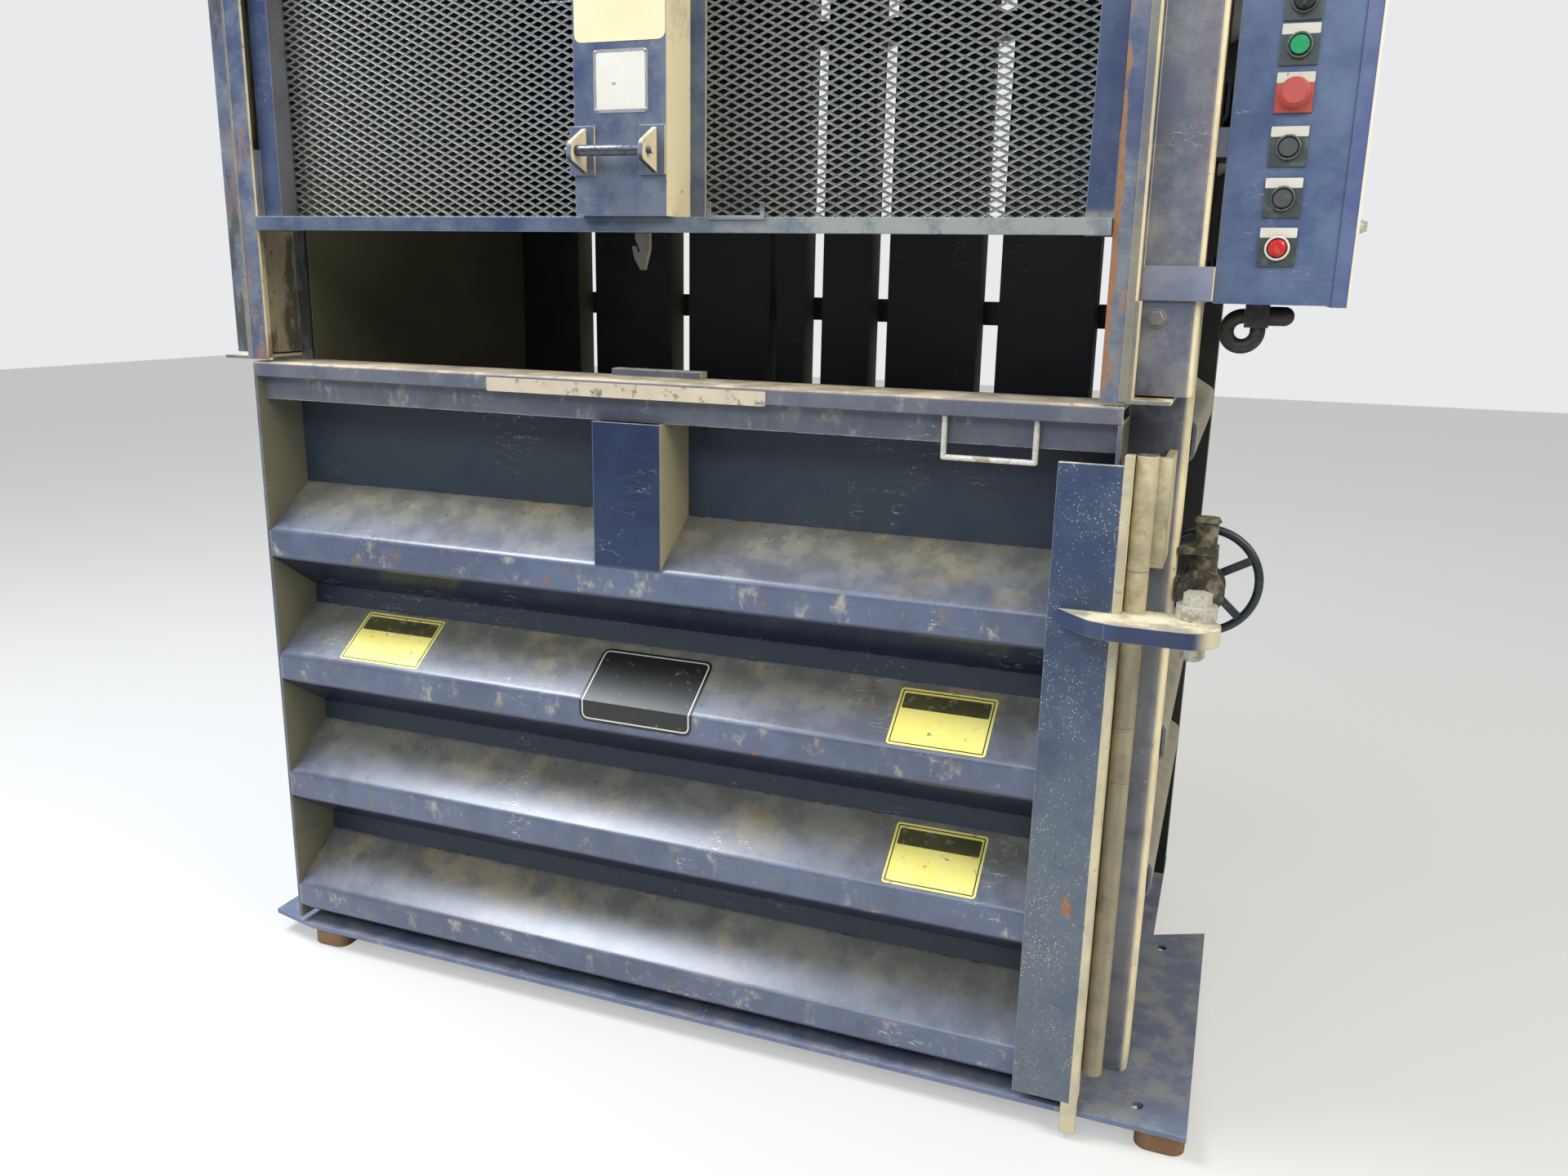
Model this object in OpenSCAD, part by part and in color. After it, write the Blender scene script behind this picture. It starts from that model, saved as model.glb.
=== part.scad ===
// Vertical downstroke recycling baler, its safety gate part raised.
// x = 0 is the middle of the bale door, y = 0 the front of its ribs, z = 0 the floor;
// place() then moves the whole machine so that its box is centred on the origin.

/* [Chamber] */
// Width between the side walls
chamber_w = 1524; // [1400:4:1650]
// Depth from the door sheet to the back slats
chamber_d = 762; // [700:2:820]
// Height of the foot pads
pad_h = 40; // [30:1:60]
// Thickness of the base plate
base_t = 10; // [8:1:16]
// Thickness of walls and folded sheet
wall_t = 6; // [4:1:8]

/* [Bale door] */
// How far each end of the door passes the chamber wall
door_lap = 38; // [30:1:44]
// Height of the door's top rail
door_top = 1222; // [1200:1:1260]
// Depth of the folded ribs
rib_depth = 115; // [90:1:125]
// Distance from rib to rib
rib_pitch = 253; // [240:1:258]
// Height of a rib's flat nose
rib_nose = 55; // [40:1:60]
// Height that each sloped side of a rib takes
rib_slope = 80; // [60:1:90]
// Number of ribs on the door
rib_count = 4; // [4:1:4]
// Outer bend radius of a rib
bend_r = 14; // [8:1:18]
// Height of the top rail's nose
rail_nose = 28; // [20:1:36]
// Width of the middle stiffener
stiff_w = 128; // [100:1:150]

/* [Latch bar] */
// Width of the latch plate that covers the door's edge
latch_w = 108; // [100:1:114]
// Thickness of the latch plate and its flange
latch_t = 13; // [10:1:14]
// Outer radius of the hinge pipe
pipe_r = 16.5; // [15:0.5:18]
// Radius of the hinge pins
pin_r = 9; // [7:0.5:11]
// Width of the lever arm
arm_w = 106; // [90:1:110]
// Thickness of the lever arm
arm_t = 25; // [20:1:28]
// Height of the lever arm's top
arm_top = 916; // [900:1:940]
// Radius of the collar on the arm
collar_r = 30; // [24:1:31]
// Radius of the clamp screw
screw_r = 12.5; // [10:0.5:14]
// Radius of the handwheel, to the middle of its rim
wheel_r = 86; // [70:1:92]
// Number of handwheel spokes
spokes = 5; // [3:1:6]

/* [Safety gate] */
// How far the gate is raised above its closed place
gate_lift = 220; // [180:1:300]
// Height of the gate
gate_h = 784; // [700:1:820]
// Width of the gate's middle post
post_w = 162; // [140:1:180]
// Width of a gate stile
stile_w = 40; // [30:1:50]
// Diamonds across one mesh panel
mesh_cols = 10; // [8:1:11]
// Diamonds up one mesh panel
mesh_rows = 10; // [8:1:11]

/* [Press] */
// Height of the posts
frame_top = 2440; // [2420:1:2500]
// Height of the crosshead beams
beam_h = 200; // [160:1:220]
// Width of a post, out from the wall
column_w = 120; // [110:1:130]
// Depth of a front post
column_d = 64; // [60:1:80]
// Height of the platen
platen_h = 280; // [240:1:300]
// Stroke of the press
stroke = 1190; // [1100:1:1200]
// Outer radius of the cylinder
barrel_r = 95; // [90:1:105]
// Radius of the cylinder's bore
bore_r = 76; // [70:1:80]
// Radius of the piston rod
rod_r = 51; // [44:1:56]

/* [Controls] */
// Width of the control box's front
box_w = 159; // [150:1:170]
// Depth of the control box
box_d = 500; // [450:1:520]
// Height of the control box
box_h = 610; // [600:1:640]
// Size of a button's square plate
plate_s = 50; // [46:1:54]

/* [Hidden] */
$fn = 48;

half_w = chamber_w / 2;
wall_x = half_w + wall_t;
post_x = wall_x + column_w;
door_x = half_w + door_lap;
base_z = pad_h + base_t;
door_back = rib_depth + wall_t;
back_y = door_back + chamber_d;
seal = 4;
wall_y = door_back + seal;
column_y = door_back + 15;
column_back = column_y + column_d;
slat_d = 60;
rear_y = back_y + wall_t + slat_d;
rear_d = 51;
base_front = 0;
base_back = rear_y + rear_d + 46;
base_left = post_x - 5;
base_right = post_x + 110;
rib_proud = 8;
rail_gap = 13;
jamb_z = door_top + rail_gap;
jamb_y = 50;
jamb_x = door_x + 4;
beam_top = frame_top + beam_h;
platen_z = frame_top - 430;
mid_y = door_back + chamber_d / 2;

pipe_x = post_x - 49.5;
pipe_y = 20;
pipe_z = 118;
pipe_top = 1152;
seams = [pipe_top, 978, 730, 640, 440, 346, pipe_z];
gap = 0.3;
flange_x = pipe_x - pipe_r - gap;
plate_y = -13;
plate_z = 70;
plate_top = 1137;
arm_z = arm_top - arm_t;
arm_front = -80;
arm_back = arm_front + arm_w;
arm_end_x = pipe_x + 126.5;
bolt_x = pipe_x + 89.5;
bolt_y = 14;
collar_h = 20;
screw_z = arm_top + collar_h - 10;
nose_y = bolt_y + collar_r + gap;
barrel_y = column_y - 1;
barrel_l = 68;
wheel_y = barrel_y + barrel_l + 14;

left_pin_x = -(door_x + 22);
left_pin_y = 84;

gate_z = door_top + 18 + gate_lift;
gate_top = gate_z + gate_h;
rail_t = 24;
gate_x = half_w;
gate_y = 20;
mesh_y = 60;
mesh_t = 5;
post_front = -27;
track_t = 6;
track_top = beam_top + 20;

hook_x = -42;
hook_y = door_back + 4;
hook_t = 10;
hook_pin_z = gate_z + 8;
hook_pin_r = 5;

box_x = post_x + 15;
box_y = 90;
box_z = 1369;
box_t = 2;
cover_t = 24;
button_x = box_x + box_w / 2;
button_zs = [1771, 1714, 1652, 1582, 1514, 1447];
plate_d = 3;

box_left = -(post_x + rib_proud);
knob_out = 12;
box_right = box_x + box_w + gap + cover_t + knob_out;
mid_x = (box_left + box_right) / 2;
origin_y = (arm_front + base_back) / 2;

// Left edge and width of each back slat; the gaps between them take the tie wires
slats = [[0.000, 0.105], [0.135, 0.135], [0.300, 0.135], [0.446, 0.046], [0.520, 0.075],
    [0.622, 0.135], [0.787, 0.135], [0.945, 0.055]];
function slat_x(s) = -half_w + s[0] * chamber_w;
function slat_w(s) = s[1] * chamber_w;

// Points of an arc that rounds the corner b between a and c
function unit(v) = v / norm(v);
function arc_at(a, b, c, r, n = 6) =
    let (u = unit(a - b), w = unit(c - b), half = acos(max(-1, min(1, u * w))) / 2,
        m = unit(u + w), o = b + m * r / sin(half),
        s = atan2((b + u * r / tan(half) - o)[1], (b + u * r / tan(half) - o)[0]),
        e = atan2((b + w * r / tan(half) - o)[1], (b + w * r / tan(half) - o)[0]),
        d = e - s > 180 ? e - s - 360 : e - s < -180 ? e - s + 360 : e - s)
    [for (i = [0:n]) o + r * [cos(s + d * i / n), sin(s + d * i / n)]];
// Closed outline with each corner rounded by its own radius, 0 for a sharp one
function rounded(p, r) = [for (i = [0:len(p) - 1]) let (k = len(p))
    each r[i] > 0 ? arc_at(p[(i + k - 1) % k], p[i], p[(i + 1) % k], r[i]) : [p[i]]];

module place() {
    translate([-mid_x, -origin_y, 0]) children();
}

// Block given by its lowest and highest corner
module block(a, b) {
    translate(a) cube(b - a);
}

// Outline drawn in (y, z), stretched along x from x0 to x1
module along_x(x0, x1) {
    translate([x0, 0, 0]) rotate([90, 0, 90]) linear_extrude(x1 - x0) children();
}

// Outline drawn in (x, z), stretched along y from y0 to y1
module along_y(y0, y1) {
    translate([0, y1, 0]) rotate([90, 0, 0]) linear_extrude(y1 - y0) children();
}

// Upright box section with an open inside
module box_section(a, b, t) {
    difference() {
        block(a, b);
        block([a[0] + t, a[1] + t, a[2] - 1], [b[0] - t, b[1] - t, b[2] + 1]);
    }
}

module both_sides() {
    children();
    mirror([1, 0, 0]) children();
}

// Inside corners of a rib's slope that rises by rise over a depth of d
function slope_inside(d, rise) =
    let (run = norm([d, rise]))
    [[-d + wall_t, rib_nose / 2 - wall_t * (run - rise) / d],
        [1, rib_nose / 2 + rise - wall_t * run / d + rise / d]];

// Folded rib: open at its back, wall_t thick, rounded at both bends; low is its lower slope
module rib_section(d, low = rib_slope) {
    outer = [[0, -rib_nose / 2 - low], [-d, -rib_nose / 2], [-d, rib_nose / 2],
        [0, rib_nose / 2 + rib_slope]];
    up = slope_inside(d, rib_slope);
    down = [for (p = slope_inside(d, low)) [p[0], -p[1]]];
    inner_r = bend_r - wall_t;
    difference() {
        polygon(rounded(outer, [0, bend_r, bend_r, 0]));
        polygon(rounded([up[1], up[0], down[0], down[1]], [0, inner_r, inner_r, 0]));
    }
}

// Round bar or tube through a list of points, with a ball at each bend
module run_through(points, r) {
    for (i = [0:len(points) - 2]) {
        v = points[i + 1] - points[i];
        translate(points[i])
            rotate([0, acos(v[2] / norm(v)), atan2(v[1], v[0])])
                cylinder(r = r, h = norm(v));
    }
    if (len(points) > 2) {
        for (i = [1:len(points) - 2]) translate(points[i]) sphere(r = r);
    }
}

module hex_head(r, h) {
    cylinder(r = r, h = h, $fn = 6);
}

// Frame

// The wing on the control side ends beside the chamber
module base_plate() {
    clip = 114;
    wing_y = base_front + 648;
    hole_r = 11;
    color("#2f3f6b") place() difference() {
        translate([0, 0, pad_h]) linear_extrude(base_t) polygon([[-base_left + clip, base_front],
            [base_right, base_front], [base_right, wing_y + 48], [post_x + rib_proud, wing_y],
            [post_x + rib_proud, base_back], [-base_left, base_back], [-base_left, base_front + 24]]);
        for (x = [-base_left + 60, base_right - 84], y = [base_front + 55, wing_y - 48])
            translate([x, y, pad_h - 1]) cylinder(r = hole_r, h = base_t + 2);
    }
}

module foot_pads() {
    pad_w = 82;
    left = -base_left + 100;
    back = base_back - 12 - pad_w;
    color("#8b5a33") place()
        for (p = [[left, base_front + 12], [base_right - 83, base_front + 12], [left, back],
            [post_x - pad_w, back]])
            translate([p[0], p[1], 0]) linear_extrude(pad_h)
                polygon(rounded([[0, 0], [pad_w, 0], [pad_w, pad_w], [0, pad_w]], [24, 24, 24, 24]));
}

// Main box of a front post, with the jamb box that carries the gate's track
module front_post() {
    jamb_r = 12;
    fold_r = 18;
    union() {
        difference() {
            box_section([wall_x, column_y, base_z], [post_x, column_back, frame_top], wall_t);
            translate([post_x, column_y, base_z - 1]) linear_extrude(jamb_z - base_z + 1) difference() {
                translate([-fold_r, -1]) square([fold_r + 1, fold_r + 1]);
                translate([-fold_r, fold_r]) circle(r = fold_r, $fn = 48);
            }
        }
        difference() {
            translate([0, 0, jamb_z]) linear_extrude(beam_top - jamb_z)
                polygon(rounded([[jamb_x, jamb_y], [post_x, jamb_y], [post_x, column_y],
                    [jamb_x, column_y]], [0, jamb_r, 0, 0]));
            block([jamb_x + wall_t, jamb_y + wall_t, jamb_z + wall_t],
                [post_x - wall_t, column_y + 1, beam_top + 1]);
        }
    }
}

module left_post() {
    color("#34426a") place() mirror([1, 0, 0]) front_post();
}

module right_post() {
    color("#34426a") place() front_post();
}

module rear_posts() {
    color("#14201f") place() both_sides()
        box_section([wall_x, rear_y, base_z], [post_x + rib_proud, rear_y + rear_d, frame_top], wall_t);
}

module side_walls() {
    color("#3a4238") place() both_sides()
        block([half_w, wall_y, base_z], [wall_x, rear_y + rear_d, frame_top]);
}

// The row at the handwheel's height is left out, which gives the wheel its room
module wall_ribs() {
    low_z = 393;
    pitch = 254;
    wheel_row = 2;
    color("#31406a") place() both_sides() for (i = [0:7]) if (i != wheel_row)
        translate([wall_x, 0, low_z + i * pitch]) along_y(column_back, rear_y)
            mirror([1, 0]) rib_section(column_w + rib_proud);
}

module back_slats() {
    rail_zs = [200, 760, 1300, platen_z - 110];
    rail_h = 51;
    top = platen_z;
    color("#171c1f") place() union() {
        for (s = slats) difference() {
            block([slat_x(s), back_y, base_z], [slat_x(s) + slat_w(s), rear_y, top]);
            block([slat_x(s) + wall_t, back_y + wall_t, base_z - 1],
                [slat_x(s) + slat_w(s) - wall_t, rear_y + 1, top + 1]);
        }
        for (z = rail_zs) block([-half_w, rear_y, z], [half_w, rear_y + rear_d, z + rail_h]);
    }
}

module chamber_floor() {
    floor_h = 80;
    color("#3c3a35") place() for (s = slats) difference() {
        block([slat_x(s), wall_y, base_z], [slat_x(s) + slat_w(s), back_y, base_z + floor_h]);
        block([slat_x(s) + wall_t, wall_y - 1, base_z - 1],
            [slat_x(s) + slat_w(s) - wall_t, back_y + 1, base_z + floor_h - wall_t]);
    }
}

module gate_tracks() {
    lip = door_x - gate_x - 2;
    color("#35426d") place() both_sides() union() {
        block([door_x - lip, 0, jamb_z - 9], [door_x + 3, track_t, track_top]);
        block([door_x + 3 - track_t, 0, jamb_z - 9], [door_x + 3, jamb_y, track_top]);
        block([door_x + 3 - track_t, jamb_y - track_t, jamb_z], [jamb_x + 3, jamb_y, track_top]);
    }
}

module track_brackets() {
    foot_w = 60;
    leg_h = 136;
    bolt_r = 7;
    bolt_z = jamb_z + 112;
    color("#b6ae95") place() both_sides() {
        block([door_x + 3, 0, jamb_z - 3], [door_x + 3 + track_t, jamb_y - track_t, jamb_z + leg_h]);
        block([door_x + 3, 0, jamb_z - 9], [jamb_x + foot_w, column_y, jamb_z - 3]);
        translate([jamb_x + 26, jamb_y, bolt_z]) rotate([90, 0, 0]) {
            cylinder(r = 2 * bolt_r, h = 3);
            hex_head(1.5 * bolt_r, 9);
        }
    }
}

module feed_header() {
    bottom = platen_z - 90;
    fold = 40;
    color("#303d66") place() union() {
        block([-half_w, column_y - wall_t, bottom], [half_w, column_y, frame_top]);
        block([-half_w, column_y - fold, bottom], [half_w, column_y, bottom + wall_t]);
        block([-half_w, column_y - fold, bottom], [half_w, column_y - fold + wall_t, bottom + fold]);
    }
}

module crosshead() {
    beam_d = 60;
    flange = 12;
    plate = 30;
    half_gap = barrel_r + 15;
    color("#2e3b66") place() difference() {
        union() {
            both_sides() difference() {
                block([wall_x, column_y, frame_top], [post_x, rear_y + rear_d, beam_top]);
                block([wall_x + wall_t, column_y - 1, frame_top + wall_t],
                    [post_x - wall_t, rear_y + rear_d + 1, beam_top - wall_t]);
            }
            for (s = [-1, 1]) translate([0, mid_y, frame_top]) mirror([0, s < 0 ? 1 : 0, 0]) {
                block([-wall_x, half_gap, 0], [wall_x, half_gap + flange, beam_h]);
                block([-wall_x, half_gap, 0], [wall_x, half_gap + beam_d, flange]);
                block([-wall_x, half_gap, beam_h - flange], [wall_x, half_gap + beam_d, beam_h]);
            }
            block([-260, mid_y - half_gap - beam_d, beam_top],
                [260, mid_y + half_gap + beam_d, beam_top + plate]);
        }
        translate([0, mid_y, beam_top - 1]) cylinder(r = barrel_r, h = plate + 2);
    }
}

barrel_z = frame_top + 10;
barrel_top = barrel_z + stroke + 220;
head_t = 50;

module cylinder_barrel() {
    flange_t = 28;
    flange_r = barrel_r + 45;
    port_r = 9;
    boss_r = 22;
    color("#23315c") place() translate([0, mid_y, 0]) difference() {
        union() {
            translate([0, 0, barrel_z]) cylinder(r = barrel_r, h = barrel_top - barrel_z);
            translate([0, 0, beam_top + 30]) cylinder(r = flange_r, h = flange_t);
            for (z = [beam_top + 120, barrel_top - 90]) translate([0, 0, z]) rotate([0, -90, 0])
                cylinder(r = boss_r, h = barrel_r + 22);
        }
        translate([0, 0, barrel_z - 1]) cylinder(r = bore_r, h = barrel_top - head_t - barrel_z + 1);
        for (z = [beam_top + 120, barrel_top - 90]) translate([0, 0, z]) rotate([0, -90, 0])
            cylinder(r = port_r, h = barrel_r + 23);
    }
}

module cylinder_gland() {
    color("#7d8287") place() translate([0, mid_y, barrel_z - 30]) difference() {
        union() {
            cylinder(r = barrel_r, h = 30);
            cylinder(r = bore_r, h = 90);
        }
        translate([0, 0, -1]) cylinder(r = rod_r + 0.05, h = 92);
    }
}

tank = [-720, -300];
tank_h = 330;
tank_y = [mid_y - 165, mid_y + 165];

module oil_tank() {
    color("#39466f") place() union() {
        block([tank[0], tank_y[0], beam_top], [tank[1], tank_y[1], beam_top + tank_h]);
        block([tank[0] - 12, tank_y[0] - 12, beam_top + tank_h],
            [tank[1] + 12, tank_y[1] + 12, beam_top + tank_h + 8]);
        translate([tank[0] + 60, tank_y[0] + 60, beam_top + tank_h + 8]) cylinder(r = 32, h = 46);
    }
}

motor_z = beam_top + tank_h + 8 + 112;
motor_x = tank[0] + 120;
motor_y = mid_y + 50;

module electric_motor() {
    body_r = 92;
    body_l = 230;
    fins = 24;
    color("#5a6166") place() translate([motor_x, motor_y, motor_z]) union() {
        rotate([0, 90, 0]) {
            cylinder(r = body_r, h = body_l);
            translate([0, 0, -26]) cylinder(r = body_r - 6, h = 26);
        }
        for (i = [0:fins - 1]) rotate([i * 360 / fins, 0, 0])
            translate([14, -2, body_r - 4]) cube([body_l - 28, 4, 12]);
        for (s = [-1, 1]) block([30, s * 70 - 18, -112], [body_l - 30, s * 70 + 18, -48]);
        block([70, body_r - 20, -30], [170, body_r + 44, 40]);
    }
}

module pump() {
    color("#3d4245") place() translate([motor_x + 230, motor_y, motor_z]) rotate([0, 90, 0]) {
        cylinder(r1 = 84, r2 = 60, h = 60);
        translate([0, 0, 60]) cylinder(r = 44, h = 20);
        translate([-40, -34, 80]) cube([80, 68, 52]);
    }
}

valve_x = tank[1] - 92;
valve_y = tank_y[0] + 12;

module valve_block() {
    top = beam_top + tank_h + 8;
    color("#6d7378") place() {
        block([valve_x - 60, valve_y, top], [valve_x + 70, valve_y + 90, top + 96]);
        for (y = [valve_y + 26, valve_y + 64]) translate([valve_x - 60, y, top + 66])
            rotate([0, -90, 0]) cylinder(r = 17, h = 60);
    }
}

module hydraulic_lines() {
    line_r = 11;
    top = beam_top + tank_h + 8;
    x0 = valve_x + 70;
    port_x = -barrel_r - 22;
    color("#4c5154") place() {
        for (k = [0, 1]) {
            z = k == 0 ? top + 34 : top + 74;
            port_z = k == 0 ? beam_top + 120 : barrel_top - 90;
            y = valve_y + 30 + 36 * k;
            x = x0 + 60 + 40 * k;
            run_through([[x0, y, z], [x, y, z], [x, y, port_z], [x, mid_y, port_z],
                [port_x, mid_y, port_z]], line_r);
        }
    }
}

// Hinges

module pipe_piece(x, y, z0, z1) {
    difference() {
        translate([x, y, z0 + 0.4]) cylinder(r = pipe_r, h = z1 - z0 - 0.8);
        translate([x, y, z0]) cylinder(r = pin_r + 0.05, h = z1 - z0);
    }
}

module hinge_pins() {
    color("#6b6a66") place() for (p = [[pipe_x, pipe_y], [left_pin_x, left_pin_y]])
        translate([p[0], p[1], pipe_z - 3]) {
            cylinder(r = pin_r, h = pipe_top - pipe_z + 6);
            translate([0, 0, pipe_top - pipe_z + 3.4]) cylinder(r = pipe_r - 2, h = 3);
        }
}

// Every other knuckle from the top belongs to the frame; only the top one's web is cranked
module frame_knuckles() {
    web_t = 12;
    color("#c2bba6") place() for (i = [0:2:4]) {
        z0 = seams[i + 1];
        z1 = seams[i];
        difference() {
            union() {
                pipe_piece(pipe_x, pipe_y, z0, z1);
                if (i == 0) {
                    block([pipe_x, pipe_y + 9, z0 + 4], [pipe_x + 35, pipe_y + 9 + web_t, z1 - 4]);
                    block([pipe_x + 35 - web_t, pipe_y + 9, z0 + 4], [pipe_x + 35, column_y, z1 - 4]);
                }
                else block([pipe_x - 8, pipe_y + 4, z0 + 4], [pipe_x + 4, column_y, z1 - 4]);
            }
            translate([pipe_x, pipe_y, z0]) cylinder(r = pin_r + 0.05, h = z1 - z0);
        }
        difference() {
            union() {
                pipe_piece(left_pin_x, left_pin_y, z0, z1);
                block([left_pin_x - web_t - 2, left_pin_y, z0 + 4],
                    [left_pin_x - 2, column_y, z1 - 4]);
            }
            translate([left_pin_x, left_pin_y, z0]) cylinder(r = pin_r + 0.05, h = z1 - z0);
        }
    }
}

module latch_knuckles() {
    color("#a9a595") place() for (i = [1:2:5]) pipe_piece(pipe_x, pipe_y, seams[i + 1], seams[i]);
}

module door_knuckles() {
    leaf = 5;
    color("#55597a") place() for (i = [1:2:5]) {
        z0 = seams[i + 1];
        z1 = seams[i];
        difference() {
            union() {
                pipe_piece(left_pin_x, left_pin_y, z0, z1);
                block([left_pin_x, left_pin_y - pipe_r, z0 + 4],
                    [-door_x, left_pin_y - pipe_r + leaf, z1 - 4]);
            }
            translate([left_pin_x, left_pin_y, z0]) cylinder(r = pin_r + 0.05, h = z1 - z0);
        }
    }
}

// Bale door

door_z = base_z + 12;
nose_z = 112;
end_t = 6;

module door_sheet() {
    color("#27345f") place() block([-door_x, rib_depth, door_z], [door_x, door_back, door_top]);
}

module door_end_plates() {
    color("#b9b198") place() both_sides()
        block([door_x - end_t, 0, door_z], [door_x, rib_depth, door_top - rail_nose]);
}

module door_ribs() {
    foot = nose_z - rib_nose / 2 - door_z;
    color("#3a4872") place() for (i = [0:rib_count - 1])
        translate([0, rib_depth, nose_z + i * rib_pitch]) along_x(-door_x + end_t, door_x - end_t)
            rib_section(rib_depth, i == 0 ? foot : rib_slope);
}

// Folded cap: a flat top, a nose, and a set-back face under it
module door_rail() {
    face_y = 20;
    face_h = 43;
    r = 5;
    under = door_top - rail_nose;
    color("#46527a") place() union() {
        along_x(-door_x, door_x) difference() {
            polygon(rounded([[0, door_top], [rib_depth, door_top], [rib_depth, under], [0, under]],
                [r, 0, 0, 2]));
            polygon([[wall_t, door_top - wall_t], [rib_depth - wall_t, door_top - wall_t],
                [rib_depth - wall_t, under + wall_t], [wall_t, under + wall_t]]);
        }
        block([-door_x + end_t, face_y, under - face_h], [door_x - end_t, face_y + wall_t, under + 1]);
    }
}

stiff_x = -75;
stiff_top = door_top - rail_nose - 43;
top_nose = nose_z + (rib_count - 1) * rib_pitch + rib_nose / 2;

// Folded channel that stands on the top rib
module door_stiffener() {
    color("#c0b89e") place() difference() {
        along_x(stiff_x, stiff_x + stiff_w) polygon([[0, top_nose + gap], [0, stiff_top - gap],
            [rib_depth, stiff_top - gap], [rib_depth, top_nose + rib_slope + gap]]);
        along_x(stiff_x + wall_t, stiff_x + stiff_w - wall_t)
            polygon([[wall_t, top_nose - 1], [wall_t, stiff_top + 1], [rib_depth + 1, stiff_top + 1],
                [rib_depth + 1, top_nose - 1]]);
    }
}

module strike_plate() {
    strike_w = 171;
    color("#4c5470") place() block([-strike_w / 2, rib_depth - 22, door_top],
        [strike_w / 2, door_back, door_top + 12]);
}

module pull_handle() {
    r = 4.5;
    y = 9;
    z = 1130;
    top = door_top - rail_nose - r;
    color("#9aa0ad") place() run_through([[535, y, top + r], [535, y, z], [676, y, z],
        [676, y, top + r]], r);
}

// Latch bar

module latch_plate() {
    color("#33416d") place() block([flange_x - latch_w, plate_y, plate_z],
        [flange_x - latch_t, plate_y + latch_t - 1, plate_top]);
}

module latch_flange() {
    foot_w = 26;
    color("#cfc9b5") place() union() {
        block([flange_x - latch_t, plate_y, plate_z], [flange_x, pipe_y, pipe_top]);
        block([flange_x - foot_w, plate_y, 14], [flange_x, base_front - 1, plate_z]);
    }
}

// Thick lever across the bar: a rounded tip, a straight front and a full round end
module lever_arm() {
    end_r = arm_w / 2;
    tip_x = flange_x - latch_w + 17;
    end_c = arm_end_x - end_r;
    color("#c6c0ab") place() difference() {
        translate([0, 0, arm_z]) linear_extrude(arm_t) difference() {
            union() {
                polygon([[flange_x - latch_t, plate_y - gap], [flange_x - latch_t - 4, arm_front + 4],
                    [flange_x, arm_front], [end_c, arm_front], [end_c, arm_back],
                    [flange_x, arm_back], [flange_x, plate_y - gap]]);
                polygon(rounded([[tip_x, plate_y - gap], [tip_x, plate_y - 4], [tip_x + 50, arm_front + 12],
                    [flange_x, arm_front], [flange_x, plate_y - gap]], [0, 3, 36, 0, 0]));
                translate([end_c, arm_front + end_r]) circle(r = end_r);
            }
            translate([pipe_x, pipe_y]) circle(r = pipe_r + gap);
            translate([flange_x - latch_t, plate_y - gap])
                square([latch_t + gap, arm_back - plate_y + 1]);
            translate([flange_x, pipe_y]) square([pipe_r, pipe_r]);
        }
        translate([bolt_x, bolt_y, arm_z - 1]) cylinder(r = 12.5, h = arm_t + 2);
    }
}

module pivot_bolt() {
    shank_r = 12;
    head_r = 21;
    color("#d0cbb9") place() translate([bolt_x, bolt_y, 0]) {
        translate([0, 0, arm_z - 40]) cylinder(r = shank_r, h = arm_t + 41);
        translate([0, 0, arm_top + gap]) difference() {
            cylinder(r = collar_r, h = collar_h - gap);
            translate([0, 0, -1]) cylinder(r = shank_r + 0.4, h = collar_h + 2);
        }
        translate([0, 0, arm_top + 1]) cylinder(r = shank_r, h = collar_h);
        translate([0, 0, arm_top + collar_h + gap]) rotate([0, 0, 12]) hex_head(head_r, 18);
        translate([0, 0, arm_z - 16]) difference() {
            cylinder(r = 28, h = 16 - gap);
            translate([0, 0, -1]) cylinder(r = shank_r + 0.4, h = 18);
        }
        translate([0, 0, arm_z - 36]) rotate([0, 0, 20]) hex_head(19, 19);
    }
}

module clamp_screw() {
    color("#5c5a55") place() translate([bolt_x, 0, screw_z]) rotate([-90, 0, 0])
        translate([0, 0, nose_y]) cylinder(r = screw_r, h = wheel_y + 60 - nose_y);
}

// Threaded barrel, held by its upright neck in a bracket on the post
module screw_barrel() {
    r = 33;
    color("#6f6a58") place() difference() {
        union() {
            translate([bolt_x, barrel_y, screw_z]) rotate([-90, 0, 0]) {
                cylinder(r = r, h = barrel_l);
                cylinder(r = r + 3, h = 10);
                translate([0, 0, barrel_l - 10]) cylinder(r = r + 3, h = 10);
            }
            translate([bolt_x, barrel_y + barrel_l / 2, screw_z]) {
                cylinder(r = 21, h = 58);
                cylinder(r = 17, h = 106);
                translate([0, 0, 106]) cylinder(r1 = 17, r2 = 21, h = 3);
                translate([0, 0, 109]) cylinder(r1 = 21, r2 = 18, h = 6);
            }
            block([post_x, barrel_y + 8, screw_z - 20], [bolt_x - 20, barrel_y + barrel_l - 8, screw_z + 20]);
            block([post_x, barrel_y + 8, screw_z + 58], [bolt_x + 20, barrel_y + barrel_l - 8, screw_z + 68]);
        }
        translate([bolt_x, barrel_y - 1, screw_z]) rotate([-90, 0, 0])
            cylinder(r = screw_r + 0.08, h = barrel_l + 2);
    }
}

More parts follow.
